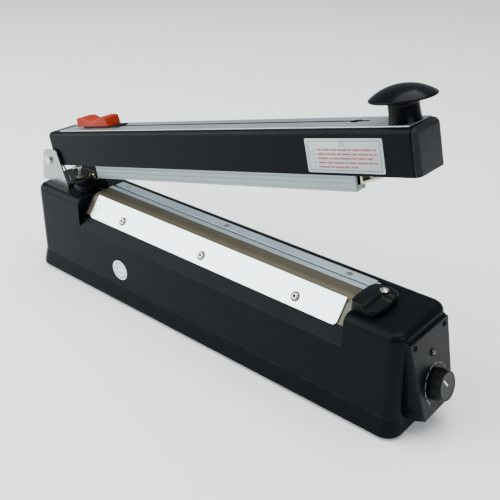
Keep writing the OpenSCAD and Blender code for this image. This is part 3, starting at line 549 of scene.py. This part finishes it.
looks = {
    "black_coat": coatedSteel("blackCoat", (0.0014, 0.0032, 0.0042), (0.0008, 0.002, 0.0028), 0.29, 1500.0, 0.12, 0.3, 0.02),
    "end_grain": coatedSteel("charcoalGrain", (0.013, 0.015, 0.016), (0.0008, 0.0013, 0.0015), 0.4, 1100.0, 1.0, 0.5, 0.02, shine=0.14, speckle=1.6),
    "steel_sheet": platedSteel("zincSheet", (0.34, 0.37, 0.37), (0.25, 0.275, 0.275), 0.26, 900.0, 0.1),
    "bright_plate": drawnMetal("brightPlate", (0.86, 0.94, 0.95), (0.78, 0.87, 0.88), 0.32, 1.0, 0.08, metallic=0.85),
    "screw_steel": platedSteel("brightScrew", (0.72, 0.7, 0.62), (0.5, 0.48, 0.42), 0.18, 1200.0, 0.05, 0.4),
    "yellow_zinc": platedSteel("yellowZinc", (0.46, 0.44, 0.25), (0.36, 0.35, 0.24), 0.3),
    "terminal_brass": platedSteel("terminalBrass", (0.8, 0.62, 0.3), (0.66, 0.5, 0.25), 0.32),
    "aluminium": drawnMetal("drawnAluminium", (0.64, 0.74, 0.79), (0.5, 0.59, 0.64), 0.36),
    "spring_steel": drawnMetal("springWire", (0.82, 0.83, 0.83), (0.62, 0.63, 0.64), 0.24, 2.0, 0.05),
    "core_steel": platedSteel("varnishedCore", (0.16, 0.15, 0.14), (0.09, 0.08, 0.07), 0.5, 400.0, 0.3),
    "copper": drawnMetal("enamelledCopper", (0.72, 0.34, 0.16), (0.5, 0.2, 0.09), 0.3, 3.0, 0.4),
    "element_alloy": drawnMetal("elementRibbon", (0.5, 0.46, 0.42), (0.36, 0.31, 0.28), 0.35),
    "insulation": moulded("glassTape", (0.68, 0.66, 0.58), (0.55, 0.52, 0.44), 0.7, 1800.0, 0.5),
    "rubber": moulded("mattRubber", (0.028, 0.028, 0.028), (0.02, 0.02, 0.02), 0.72, 900.0, 0.35),
    "silicone": moulded("siliconeStrip", (0.42, 0.44, 0.43), (0.34, 0.36, 0.35), 0.55, 1200.0, 0.2),
    "black_plastic": moulded("glossBlack", (0.0018, 0.003, 0.0038), (0.0012, 0.0022, 0.0028), 0.2, 900.0, 0.03, 0.0, 0.003, shine=0.07),
    "satin_plastic": moulded("satinBlack", (0.0022, 0.0036, 0.0042), (0.0014, 0.0024, 0.0029), 0.32, 1100.0, 0.12, 0.12, 0.01, shine=0.09),
    "orange_plastic": moulded("orangeRed", (0.3, 0.02, 0.0035), (0.22, 0.013, 0.0022), 0.4, 900.0, 0.06, 0.3, 0.005, worn=(0.44, 0.08, 0.025), shine=0.14),
    "lamp_lens": lampLens(),
    "white_plastic": moulded("whitePlastic", (0.8, 0.8, 0.77), (0.7, 0.7, 0.66), 0.45),
    "board_green": moulded("solderMask", (0.03, 0.2, 0.09), (0.02, 0.14, 0.06), 0.3, 600.0, 0.2, coat=0.4),
    "relay_blue": moulded("relayBlue", (0.04, 0.1, 0.32), (0.03, 0.07, 0.22), 0.4),
    "capacitor_sleeve": moulded("capacitorSleeve", (0.04, 0.05, 0.1), (0.03, 0.035, 0.06), 0.25),
    "wire_sheath": moulded("wireSheath", (0.5, 0.04, 0.025), (0.36, 0.03, 0.02), 0.45, 700.0, 0.1),
    "sticker_paper": moulded("stickerFilm", (0.84, 0.88, 0.88), (0.76, 0.8, 0.81), 0.4, 800.0, 0.08, 0.0, 0.02),
    "label_foil": moulded("labelFoil", (0.34, 0.39, 0.395), (0.29, 0.335, 0.34), 0.36, 700.0, 0.06, 0.0, 0.02),
    "ptfe_fabric": coatedCloth("coatedCloth"),
}
looks["armStrip"] = drawnMetal("drawnStrip", (0.6, 0.64, 0.67), (0.48, 0.52, 0.55), 0.34, turn=armOpen)
looks["armBar"] = drawnMetal("drawnBar", (0.26, 0.31, 0.31), (0.19, 0.23, 0.23), 0.32, turn=armOpen)
looks["hatchedFace"] = hatchedPlastic()
# plated steel darkened as painted shade, used between the hinge bracket's ears
looks["paintedShadeSteel"] = platedSteel("paintedShadeSteel", (0.035, 0.038, 0.036), (0.01, 0.011, 0.0105), 0.3, 700.0, 0.2, 0.15)
looks["panelCoat"] = coatedSteel("panelCoat", (0.0024, 0.0042, 0.005), (0.0015, 0.0028, 0.0034), 0.3, 1300.0, 0.12, 0.5, 0.015, shine=0.09)
looks["printRed"] = moulded("printRed", (0.3, 0.06, 0.07), (0.24, 0.05, 0.058), 0.5, 1500.0, 0.05, 0.0, 0.0)
looks["printGrey"] = moulded("printGrey", (0.032, 0.038, 0.04), (0.022, 0.026, 0.028), 0.5, 1500.0, 0.05, 0.0, 0.0)
looks["printPale"] = moulded("printPale", (0.26, 0.28, 0.28), (0.15, 0.165, 0.165), 0.5, 1500.0, 0.05, 0.0, 0.0)
print("materials made:", len(looks))


# ---- camera, floor and light

viewValues = {"place": (0.4215, -0.4501, 0.4117), "down": 28.24, "turn": 40.68, "lens": 55.1}


def makeCamera():
    data = bpy.data.cameras.new("viewCamera")
    data.lens = viewValues["lens"]
    data.sensor_width = 36.0
    data.clip_start = 0.01
    camera = bpy.data.objects.new("viewCamera", data)
    camera.location = viewValues["place"]
    camera.rotation_euler = (radians(90 - viewValues["down"]), 0.0, radians(viewValues["turn"]))
    bpy.context.scene.collection.objects.link(camera)
    bpy.context.scene.camera = camera


studioValues = {
    "world": (0.84, 0.95, 1.0), "worldStrength": 0.42, "floor": 0.93,
    "lamps": [  # place, aim, size, watts, colour
        ((-1.0, -1.0, 0.95), (0.0, 0.0, 0.08), 1.9, 62.0, (0.95, 0.99, 1.0)),
        ((0.1, 0.3, 2.1), (0.0, 0.0, 0.0), 2.0, 62.0, (1.0, 1.0, 1.0)),
        ((1.5, -0.1, 0.95), (0.15, 0.0, 0.1), 0.8, 9.0, (0.95, 0.98, 1.0)),
    ],
}


def makeStudio():
    world = bpy.data.worlds.new("studioWorld")
    world.use_nodes = True
    world.node_tree.nodes["Background"].inputs[0].default_value = (*studioValues["world"], 1.0)
    world.node_tree.nodes["Background"].inputs[1].default_value = studioValues["worldStrength"]
    bpy.context.scene.world = world
    for index, (place, aim, size, watts, colour) in enumerate(studioValues["lamps"]):
        data = bpy.data.lights.new(f"softbox{index}", "AREA")
        data.size = size
        data.energy = watts
        data.color = colour
        lamp = bpy.data.objects.new(f"softbox{index}", data)
        lamp.location = place
        away = lamp.location - Matrix.Translation(aim).translation
        lamp.rotation_euler = away.to_track_quat("Z", "Y").to_euler()
        bpy.context.scene.collection.objects.link(lamp)
    # the floor is a wide disc of rings, so that its edge never shows
    turn = np.linspace(0, 2 * pi, 64, endpoint=False)
    ringSizes = np.array([0.02, 0.6, 2.5, 9.0])
    points = np.stack([ringSizes[:, None] * np.cos(turn), ringSizes[:, None] * np.sin(turn), np.zeros((4, 64))], -1)
    mesh = bpy.data.meshes.new("floor")
    mesh.from_pydata(points.reshape(-1, 3).tolist(), [], gridFaces(4, 64, True) + [list(range(64))[::-1]])
    floor = bpy.data.objects.new("floor", mesh)
    bpy.context.scene.collection.objects.link(floor)
    closeUp(mesh, 40)
    plain = bpy.data.materials.new("floorPaint")
    plain.use_nodes = True
    plain.node_tree.nodes["Principled BSDF"].inputs["Base Color"].default_value = (*(studioValues["floor"],) * 3, 1.0)
    plain.node_tree.nodes["Principled BSDF"].inputs["Roughness"].default_value = 0.9
    mesh.materials.append(plain)


makeCamera()
makeStudio()
print("camera and studio made")


# ---- CAD nodes that keep their own shape, with broken edges where light would catch them

edgeRounds = {  # node: width of the round in millimetres
    "base_housing": 0.9, "control_panel": 0.5, "clamp_plate": 0.22, "rear_rail": 0.25, "seal_bar": 0.25,
    "arm_housing": 0.6, "arm_end_cap": 0.5, "arm_top_strip": 0.05, "pressure_bar": 0.25, "silicone_strip": 0.4,
    "hinge_bracket": 0.4, "arm_hinge_bracket": 0.4, "blade_carrier": 0.4, "bar_end_bracket": 0.2,
    "rod_guide": 0.3, "rubber_feet": 0.0, "cord_gland": 0.0, "hinge_pin": 0.0, "pin_clips": 0.0,
    "rear_rail_screws": 0.0, "end_block_screws": 0.0, "hinge_bracket_screws": 0.0,
    "panel_screws": 0.0, "bar_screws": 0.0, "bottom_plate": 0.2, "bottom_plate_screws": 0.0, "handle_bolt": 0.0,
    "switch_striker": 0.2, "push_rod": 0.0, "cutter_blade": 0.0, "knob_pointer": 0.0,
    "transformer_bracket": 0.3, "transformer_winding": 1.5, "element_terminals": 0.3,
}
armSlots = {"arm_top_strip": "armStrip", "pressure_bar": "armBar", "control_panel": "panelCoat"}
def inSlot(local, piece):
    # upright faces well inside the strip's outline
    normals = np.empty(len(piece.data.polygons) * 3)
    piece.data.polygons.foreach_get("normal", normals)
    upright = np.abs(normals.reshape(-1, 3) @ armPlace.axes[2]) < 0.3
    return upright & (np.abs(local[:, 1]) < 12 * mm) & (local[:, 0] < 400 * mm)


for node, width in edgeRounds.items():
    look = looks[armSlots.get(node, slotOf[node])]
    piece = refined(node, look, bevel=width, shortest=1.2 if node in ("base_housing", "arm_housing") else 0.5)
    if node == "pressure_bar":
        # the bar's top, which lies inside the arm, takes the arm's black coat
        barTop = armPlace.box("pressure_bar")[1][2] - 0.15 * mm
        secondLook(piece, looks["black_coat"], lambda p: ((p - armPlace.origin) @ armPlace.axes.T)[:, 2] > barTop)
    if node == "arm_top_strip":
        # the slot's own walls take the black coat as painted shade, for the arm's shadow that falls in the slot
        secondLook(piece, looks["black_coat"], lambda p: inSlot((p - armPlace.origin) @ armPlace.axes.T, piece))
    if node == "hinge_bracket":
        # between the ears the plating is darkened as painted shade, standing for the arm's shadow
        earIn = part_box("hinge_bracket")[1][1] - 1.95 * mm
        secondLook(piece, looks["paintedShadeSteel"], lambda p: np.abs(p[:, 1]) < earIn)
for node, piece in nodes.items():
    if not piece.hide_render:
        for holder in piece.material_slots:
            holder.material = looks[slotOf[node]]
print("nodes finished:", len(edgeRounds))


# ---- mushroom handle

handleValues = {"neckAlong": 10.3, "neckAcross": 12.8, "neckHigh": 11.5, "rimRound": 0.9, "rise": 8.0, "flare": 0.8}


def makeHandle():
    # one skin of rings: an oval neck opens through a hollow curve into a round rim, then closes over a shallow dome
    low, high = armPlace.box("handle_knob")
    centre = (low + high) / 2
    v = handleValues
    rim = (high[0] - low[0]) / 2 / mm
    foot, top = low[2] / mm, high[2] / mm
    rimLevel = top - v["rise"] - v["rimRound"]
    neckTop = foot + v["neckHigh"]
    s = np.linspace(0, 1, 9)
    neckR = v["flare"] * (1 - s) ** 3
    t = np.linspace(0, pi / 2, 14)[1:]
    openOut = 1 - np.cos(t)
    turn = np.linspace(-pi / 2, pi / 2, 9)[1:-1]
    domeR = ((rim - 0.4) ** 2 + v["rise"] ** 2) / (2 * v["rise"])
    lean = np.linspace(np.arcsin((rim - 0.4) / domeR), 0.004, 16)
    across = {}
    for axis, neck in (("a", v["neckAlong"]), ("y", v["neckAcross"])):
        across[axis] = np.concatenate([
            neck + neckR, neck + (rim - v["rimRound"] - neck) * openOut,
            rim - v["rimRound"] + v["rimRound"] * np.cos(turn), domeR * np.sin(lean)])
    levels = np.concatenate([
        foot + v["neckHigh"] * s, neckTop + (rimLevel - v["rimRound"] - neckTop) * np.sin(t) ** 0.62,
        rimLevel + v["rimRound"] * np.sin(turn), top - domeR * (1 - np.cos(lean))])
    angle = np.linspace(0, 2 * pi, 96, endpoint=False)
    rings = np.stack([across["a"][:, None] * np.cos(angle), across["y"][:, None] * np.sin(angle),
                      np.broadcast_to(levels[:, None], (len(levels), 96))], -1) * mm
    rings[..., 0] += centre[0]
    rings[..., 1] += centre[1]
    points, faces = loftedRings(rings)
    piece = newPiece("mushroomHandle", armPlace.put(points), faces, "arm", looks["black_plastic"], 70)
    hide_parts("handle_knob")


makeHandle()


# ---- cutter's orange grip

gripValues = {"round": 1.1, "corner": 1.9, "hollow": 4.0, "hollowHalf": 15.0, "lean": 1.2}


def makeGrip():
    # outline of a saddle: flat foot, leaning ends, and a top that dips in a cosine between two thumb rests
    low, high = armPlace.box("cutter_knob")
    centre, half = (low + high) / 2 / mm, (high - low) / 2 / mm
    v = gripValues
    r = v["corner"]
    x = np.linspace(half[0] - v["lean"] - r, -half[0] + v["lean"] + r, 49)
    dip = np.where(np.abs(x) < v["hollowHalf"], 0.5 + 0.5 * np.cos(pi * x / v["hollowHalf"]), 0.0)
    crown = half[2] - v["hollow"] * dip - 0.5 * (np.abs(x) / half[0]) ** 4
    corner = np.linspace(0, pi / 2, 5)
    right = np.stack([half[0] - v["lean"] - r + r * np.cos(corner), crown[0] - r + r * np.sin(corner)], -1)
    left = right[::-1] * (-1, 1)
    outline = np.concatenate([[[half[0], -half[2]]], right[:-1], np.stack([x, crown], -1), left[1:], [[-half[0], -half[2]]],
                              np.stack([np.linspace(-half[0], half[0], 14)[1:-1], np.full(12, -half[2])], -1)])
    points, faces = roundedExtrusion(outline, half[1], v["round"])
    points = (points + centre) * mm
    piece = newPiece("cutterGrip", armPlace.put(points), faces, "cutter", looks["orange_plastic"], 50)
    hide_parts("cutter_knob")


makeGrip()


# ---- timer knob, its tick ring and the lamp

dialValues = {"radius": 12.6, "ridges": 90, "ridgeDeep": 0.004, "arcs": 10, "ringRadius": 16.6, "ringWide": 0.55,
              "arcShare": 0.72, "sweepFrom": -36.0, "sweepTo": 222.0}


def makeDial():
    # profile turned round the shaft: skirt, grooved side, rounded edge and a flat face with a raised lip
    low, high = dialPlace.box("timer_knob")
    v = dialValues
    radius = v["radius"]
    base, top = low[2] / mm, high[2] / mm
    corner = np.linspace(0, pi / 2, 7)
    side = np.linspace(0, 1, 14)
    r = np.concatenate([[4.6, radius - 0.2], radius + 0.3 - 0.9 * side, radius - 1.3 + 0.7 * np.cos(corner)[1:],
                        [radius - 2.2, radius - 2.5, radius - 3.0, 5.0, 0.4]])
    h = np.concatenate([[base, base], base + 0.15 + (top - base - 0.85) * side, top - 0.7 + 0.7 * np.sin(corner)[1:],
                        [top, top - 0.12, top - 0.2, top - 0.2, top - 0.2]])
    h = np.minimum(h, top)
    columns = 360
    turn = np.linspace(0, 2 * pi, columns, endpoint=False)
    groove = np.clip(np.cos(turn * v["ridges"]) * 1.6, -1, 1) * 0.5 - 0.5
    grooved = np.zeros(len(r))
    grooved[4:14] = 1.0
    points, faces = revolved(r * mm, h * mm, columns, v["ridgeDeep"] * grooved[:, None] * groove[None])
    piece = newPiece("timerDial", dialPlace.put(points), faces, "timer", looks["satin_plastic"], 35)
    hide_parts("timer_knob")
    # the flat face takes its own finish, turned with a fine diagonal hatch
    def onFace(centres):
        local = (centres - dialPlace.origin) @ dialPlace.axes.T
        return (local[:, 2] > (top - 0.25) * mm) & (np.hypot(local[:, 0], local[:, 1]) < (radius - 1.9) * mm)

    secondLook(piece, looks["hatchedFace"], onFace)
    # printed ring: arcs round the shaft, each a little wider than the one before, and a short mark at both ends
    span = radians(v["sweepTo"] - v["sweepFrom"]) / v["arcs"]
    cells = []
    for index in range(v["arcs"] * 6):
        arc, part = divmod(index, 6)
        t = radians(v["sweepFrom"]) + span * (arc + 0.5 + v["arcShare"] * ((part + 0.5) / 6 - 0.5))
        reach = v["ringRadius"] * span * v["arcShare"] / 11.6
        cells.append((v["ringRadius"] * cos(t), v["ringRadius"] * sin(t), v["ringWide"] * (0.32 + 0.035 * arc), reach, t))
    for end in (v["sweepFrom"], v["sweepTo"]):
        t = radians(end)
        cells.append((v["ringRadius"] * cos(t), v["ringRadius"] * sin(t), 1.5, 0.3, t))
    points, faces = thinBoxes(np.array(cells) * (mm, mm, mm, mm, 1), 0.0, 0.06 * mm)
    newPiece("dialTicks", dialPlace.put(points), faces, "base", looks["printPale"])


def makeLamp():
    # a bezel ring and a low domed lens, both turned round the lamp's own axis
    low, high = dialPlace.box("indicator_lamp")
    centre = (low + high) / 2
    reach = (high[1] - low[1]) / 2 / mm
    corner = np.linspace(0, pi, 13)
    r = np.concatenate([[reach - 0.2], reach - 0.45 + 0.45 * np.cos(corner), [reach - 0.9, 0.3]])
    h = np.concatenate([[-0.3], 0.5 + 0.45 * np.sin(corner), [-0.2, -0.3]])
    points, faces = revolved(r * mm, h * mm, 64)
    newPiece("lampBezel", dialPlace.put(points + (centre[0], centre[1], 0)), faces, "base", looks["satin_plastic"], 60)
    lean = np.linspace(pi / 2, 0.03, 14)
    r = np.concatenate([[reach - 1.0], (reach - 0.85) * np.sin(lean)])
    h = np.concatenate([[-4.0], 0.2 + 1.75 * np.cos(lean)])
    points, faces = revolved(r * mm, h * mm, 64)
    piece = newPiece("lampLensDome", dialPlace.put(points + (centre[0], centre[1], 0)), faces, "base", looks["lamp_lens"], 70)
    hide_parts("indicator_lamp")


makeDial()
makeLamp()
print("handle, grip, dial and lamp made")


# ---- clamp plate screws with round sockets; the socket insides and a dark ring under each head are painted shade

jawValues = {"slope": 52.0, "crown": 14.55, "rows": 64, "columns": 220}
screwValues = {"head": 3.2, "high": 1.75, "socket": 1.3, "socketDeep": 1.15, "shadeRing": 4.3}


def makeClampScrews():
    # a profile of washer-faced head and socket turned round each screw's own axis, square to the slope
    v = screwValues
    slope = radians(jawValues["slope"])
    points = nodePoints("clamp_plate_screws")
    out = np.array([0, -sin(slope), cos(slope)])
    up = np.array([0, cos(slope), sin(slope)])
    order = np.argsort(points[:, 0])
    parts = np.split(points[order], np.where(np.diff(points[order, 0]) > 20 * mm)[0] + 1)
    bend = np.linspace(0, pi / 2, 9)
    r = np.concatenate([[v["head"] - 0.1, v["head"]], v["socket"] + 0.25 + (v["head"] - v["socket"] - 0.25) * np.cos(bend),
                        [v["socket"] + 0.08, v["socket"], v["socket"] * 0.9, 0.03]])
    h = np.concatenate([[-0.1, 0.05], 0.5 + (v["high"] - 0.5) * np.sin(bend),
                        [v["high"] - 0.05, v["high"] - 0.25, v["high"] - v["socketDeep"], v["high"] - v["socketDeep"] - 0.1]])
    for index, part in enumerate(parts):
        foot = (part @ out).max() - 1.9 * mm
        middle = (part.min(0) + part.max(0)) / 2
        centre = np.array([middle[0], 0, 0]) + up * ((part @ up).min() + (part @ up).max()) / 2 + out * foot
        seat = Place(centre, (1, 0, 0), up, out)
        rings, faces = revolved(r * mm, h * mm, 48)
        piece = newPiece(f"clampScrew{index}", seat.put(rings), faces, "base", looks["screw_steel"], 35)
        # the socket's inside takes black plastic as painted shade in the recess
        secondLook(piece, looks["satin_plastic"], lambda p: np.hypot(*((p - centre) @ seat.axes.T)[:, :2].T) < (v["socket"] + 0.04) * mm)
        # a thin dark ring under each head, in rubber, as painted shade for the head's shadow on the plate
        rings, faces = revolved(np.array([0.5, v["shadeRing"], v["shadeRing"], 0.5]) * mm, np.array([-0.05, -0.05, 0.12, 0.14]) * mm, 48)
        newPiece(f"clampShadeRing{index}", seat.put(rings), faces, "base", looks["rubber"], 35)
    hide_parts("clamp_plate_screws")


# ---- moulded end blocks

blockValues = {"square": 4.2, "topInset": 2.3, "seatRadius": 5.0, "seatDeep": 0.9, "dome": 0.9, "rings": 60, "columns": 160,
               "stepDeep": {"right_end_block": 2.7, "left_end_block": 0.8}}


def makeBlock(node, screwSign):
    # a mound: superellipse rings that draw in as they rise, a domed top, and a round seat sunk under the screw
    low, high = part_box(node)
    low, high = np.array(low) / mm, np.array(high) / mm
    half, centre = (high - low)[:2] / 2, (high + low)[:2] / 2
    v = blockValues
    tall = high[2] - low[2]
    angle = np.linspace(0, 2 * pi, v["columns"], endpoint=False)
    power = 2 / v["square"]
    ux = np.sign(np.cos(angle)) * np.abs(np.cos(angle)) ** power
    uy = np.sign(np.sin(angle)) * np.abs(np.sin(angle)) ** power
    lift = np.linspace(0, 1, v["rings"])
    wallShare = np.clip(lift / 0.55, 0, 1)
    topShare = np.clip((lift - 0.55) / 0.45, 0, 1)
    corner = np.sin(wallShare * pi / 2)
    inset = v["topInset"] * (1 - np.cos(wallShare ** 2.2 * pi / 2))
    shrink = 1 - topShare * 0.985
    x = centre[0] + (half[0] - inset)[:, None] * shrink[:, None] * ux
    y = centre[1] + (half[1] - inset)[:, None] * shrink[:, None] * uy
    z = low[2] + (tall - v["dome"]) * corner[:, None] + v["dome"] * (1 - shrink[:, None] ** 2) + 0 * x
    # its outer front corner stands lower than the rest, past a soft step
    east = 1 / (1 + np.exp(-((x - centre[0]) / half[0] - 0.22) * 26))
    front = 1 / (1 + np.exp(((y - centre[1]) / half[1] - 0.3) * 16))
    z = low[2] + (z - low[2]) * (1 - v["stepDeep"][node] / tall * east * front)
    away = np.hypot(x - (centre[0] + screwSign[0]), y - (centre[1] + screwSign[1]))
    seat = 1 / (1 + np.exp((away - v["seatRadius"]) * 2.6))
    z = np.where(seat > 0.02, np.minimum(z, z * (1 - seat) + (high[2] - v["seatDeep"] + 0.45) * seat), z)
    z = np.minimum(z, high[2] - 0.05)
    rings = np.stack([x, y, z], -1) * mm
    points, faces = loftedRings(rings)
    piece = newPiece(node + "_mound", points, faces, "base", looks["satin_plastic"], 60)
    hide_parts(node)


makeClampScrews()
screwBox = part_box("end_block_screws")
screwLeft = np.array(screwBox[0][:2]) / mm + 3.6
screwRight = np.array(screwBox[1][:2]) / mm - 3.6
for blockNode, screwAt in (("left_end_block", screwLeft), ("right_end_block", screwRight)):
    lowCorner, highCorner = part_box(blockNode)
    middle = (np.array(lowCorner) + np.array(highCorner))[:2] / 2 / mm
    makeBlock(blockNode, screwAt - middle)


# ---- coated cloth over the jaw

def makeCloth():
    # profile: straight up the slope, round the crown, flat along the top; carried along the jaw with a faint ripple
    low, high = (np.array(corner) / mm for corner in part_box("ptfe_cloth"))
    v, slope = jawValues, radians(jawValues["slope"])
    radius, sink = v["crown"] - 0.12, 0.12
    topLevel = high[2] - sink
    tangentZ = topLevel - radius * (1 - cos(slope))
    rise = (tangentZ - low[2]) / sin(slope)
    tangentY = low[1] + rise * cos(slope) + sink * sin(slope)
    arcLong = radius * slope
    flatFrom = tangentY + radius * sin(slope)
    whole = rise + arcLong + high[1] - 0.15 - flatFrom
    s = np.linspace(0, whole, v["rows"])
    bend = np.clip((s - rise) / radius, 0, slope)
    y = tangentY + np.minimum(s - rise, 0) * cos(slope) + radius * (sin(slope) - np.sin(slope - bend)) + np.maximum(s - rise - arcLong, 0)
    z = tangentZ + np.minimum(s - rise, 0) * sin(slope) + radius * (np.cos(slope - bend) - cos(slope))
    x = np.linspace(low[0] + 0.1, high[0] - 0.1, v["columns"])
    grid = np.empty((v["rows"], v["columns"], 3))
    grid[..., 0] = x
    middle = np.sin(pi * np.clip(s / whole, 0, 1))[:, None]
    ripple = clothValues["wave"] * middle * (np.sin(x * 0.19 + 2 * np.sin(x * 0.023)) * 0.6 + np.sin(x * 0.071 + s[:, None] * 0.3) * 0.4)
    grid[..., 1] = y[:, None] - ripple * np.sin(slope - bend)[:, None]
    grid[..., 2] = z[:, None] + ripple * np.cos(slope - bend)[:, None]
    faces = gridFaces(v["rows"], v["columns"])
    piece = newPiece("coatedClothSheet", grid.reshape(-1, 3) * mm, faces, "base", looks["ptfe_fabric"], 60)
    mesh = piece.data
    corner = np.empty(len(mesh.loops), int)
    mesh.loops.foreach_get("vertex_index", corner)
    flatX = np.broadcast_to(x * mm, (v["rows"], v["columns"])).reshape(-1)
    flatS = np.broadcast_to(s[:, None] * mm, (v["rows"], v["columns"])).reshape(-1)
    uv = mesh.uv_layers.new(name="flatCut")
    uv.data.foreach_set("uv", np.stack([flatX[corner], flatS[corner]], -1).astype(np.float32).reshape(-1))
    thick = piece.modifiers.new("thickness", "SOLIDIFY")
    thick.thickness = clothValues["thick"] * mm
    thick.offset = 0.0
    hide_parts("ptfe_cloth")
    print(f"cloth cut: {x[-1] - x[0]:.1f} x {whole:.1f} mm")


makeCloth()


# ---- return spring

springValues = {"coil": 6.0, "wire": 1.0, "turns": 7, "half": 10.0}


def makeSpring():
    # a helix round the hinge pin, with one straight leg up the arm and one down to the base
    v = springValues
    pin = np.array(joints["arm_hinge"]["pos_m"]) / mm
    t = np.linspace(0.25, v["turns"] - 0.25, v["turns"] * 32)
    coil = np.stack([v["coil"] * np.cos(2 * pi * t), v["half"] - 2 * v["half"] * t / v["turns"], v["coil"] * np.sin(2 * pi * t)], -1)
    legUp = np.array([[30, 10, 9.5], [22, 10, 7.6], [14, 10, 6.4], [7, 9.9, 6.2], [3, 9.7, 6.1]])
    legDown = np.array([[3.4, -9.6, -6.1], [8.5, -11.2, -7.2], [13, -11.9, -10], [16.4, -12, -14.5], [19.5, -12, -20.8]])
    path = np.concatenate([legUp, coil[4:-4], legDown]) + pin
    for _ in range(3):
        path[1:-1] = (path[:-2] + 2 * path[1:-1] + path[2:]) / 4
    points, faces = sweptTube(path * mm, v["wire"] * mm, 14)
    piece = newPiece("returnSpringWire", points, faces, "base", looks["spring_steel"], 60)
    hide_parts("return_spring")


makeSpring()
print("blocks, cloth and spring made")


# ---- label on the arm and round sticker on the base

labelValues = {"bars": 5, "barFrom": 0.16, "barTo": 0.92, "barHigh": 0.052, "firstBar": 0.67, "barGap": 0.125, "frame": 0.035,
               "line": 0.45, "shorter": [0.0, 0.0, 0.02, 0.0, 0.24],
               "runs": [3.4, 7.2, 5.1, 8.8, 2.6, 6.3, 9.5], "gap": 0.75}


def makeLabel():
    # foil plate with a printed frame, a small plain triangle and rows of blank bars
    low, high = armPlace.box("instruction_label")
    wide, tall = (high[0] - low[0]) / mm, (high[2] - low[2]) / mm
    sheetPlace = Place(armPlace.put((low[0], low[1], low[2])), armPlace.axes[0], armPlace.axes[2], -armPlace.axes[1])
    r, v = 1.2, labelValues
    corner = np.linspace(0, pi / 2, 6)
    quarter = np.stack([wide - r + r * np.cos(corner), tall - r + r * np.sin(corner)], -1)
    outline = np.concatenate([quarter, quarter[::-1] * (-1, 1) + (wide, 0), quarter * (-1, -1) + (wide, tall), quarter[::-1] * (1, -1) + (0, tall)])
    rings = np.stack([np.concatenate([outline, np.full((len(outline), 1), depth)], -1) for depth in (-0.18, -0.04, 0.0)])
    rings[2, :, :2] = (rings[2, :, :2] - (wide / 2, tall / 2)) * 0.998 + (wide / 2, tall / 2)
    points, faces = loftedRings(rings * mm)
    piece = newPiece("armLabel", sheetPlace.put(points), faces, "arm", looks["label_foil"])
    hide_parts("instruction_label")
    edge = v["frame"] * wide
    cells = [(wide / 2, y, wide / 2 - edge, v["line"] / 2, 0) for y in (edge * 0.8, tall - edge * 0.8)]
    cells += [(x, tall / 2, tall / 2 - edge * 0.8, v["line"] / 2, pi / 2) for x in (edge, wide - edge)]
    tip, foot, side = tall * 0.93, tall * 0.79, 2.1
    slant = np.arctan2(tip - foot, side)
    reach = sqrt(side ** 2 + (tip - foot) ** 2) / 2
    cells += [(wide * 0.49 - side / 2, (tip + foot) / 2, reach, 0.2, slant), (wide * 0.49 + side / 2, (tip + foot) / 2, reach, 0.2, -slant),
              (wide * 0.49, foot, side, 0.2, 0)]
    points, faces = thinBoxes(np.array(cells) * (mm, mm, mm, mm, 1), -0.01 * mm, 0.02 * mm)
    newPiece("labelFrame", sheetPlace.put(points), faces, "arm", looks["printGrey"])
    cells = []
    for row in range(v["bars"]):
        end = (v["barTo"] - v["shorter"][row]) * wide
        level = (v["firstBar"] - row * v["barGap"]) * tall
        start = v["barFrom"] * wide
        cells.append((start - 3.4, level, 0.55, 0.55, 0))
        for index in range(12):
            run = v["runs"][(index + 5 * row) % len(v["runs"])]
            stop = min(start + run, end)
            cells.append(((start + stop) / 2, level, (stop - start) / 2, v["barHigh"] / 2 * tall, 0))
            start = stop + v["gap"]
            if start > end - 1.5:
                break
    points, faces = thinBoxes(np.array(cells) * (mm, mm, mm, mm, 1), -0.01 * mm, 0.02 * mm)
    newPiece("labelBars", sheetPlace.put(points), faces, "arm", looks["printRed"])


stickerValues = {"rings": [(7.4, 8.3), (3.2, 4.0)], "draft": 0.8}


def makeSticker():
    # a thin disc with a turned-over edge, and two printed rings on it
    low, high = (np.array(corner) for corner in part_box("round_sticker"))
    centre, radius = (low + high) / 2, (high[0] - low[0]) / 2
    lean = radians(stickerValues["draft"])
    face = Place((centre[0], centre[1], centre[2]), (1, 0, 0), (0, sin(lean), cos(lean)), (0, -cos(lean), sin(lean)))
    thick = 0.12 * mm
    r = np.array([radius, radius, radius - 0.1 * mm, radius * 0.5, 0.1 * mm])
    h = np.array([-thick, thick * 0.6, thick, thick, thick])
    points, faces = revolved(r, h, 96)
    piece = newPiece("baseSticker", face.put(points), faces, "base", looks["sticker_paper"], 30)
    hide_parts("round_sticker")
    turn = np.linspace(0, 2 * pi, 96, endpoint=False)
    allPoints, allFaces = [], []
    for inner, outer in stickerValues["rings"]:
        r = np.array([inner, outer, outer, inner, inner]) * mm
        h = np.array([0.0, 0.0, 0.03, 0.03, 0.0]) * mm + thick
        rings = np.stack([r[:, None] * np.cos(turn), r[:, None] * np.sin(turn), np.broadcast_to(h[:, None], (5, 96))], -1)
        start = sum(len(p) for p in allPoints)
        allPoints.append(rings.reshape(-1, 3))
        allFaces += (np.array(gridFaces(5, 96, True)) + start).tolist()
    newPiece("stickerRings", face.put(np.concatenate(allPoints)), allFaces, "base", looks["printGrey"], 30)


makeLabel()
makeSticker()
print("label and sticker made")
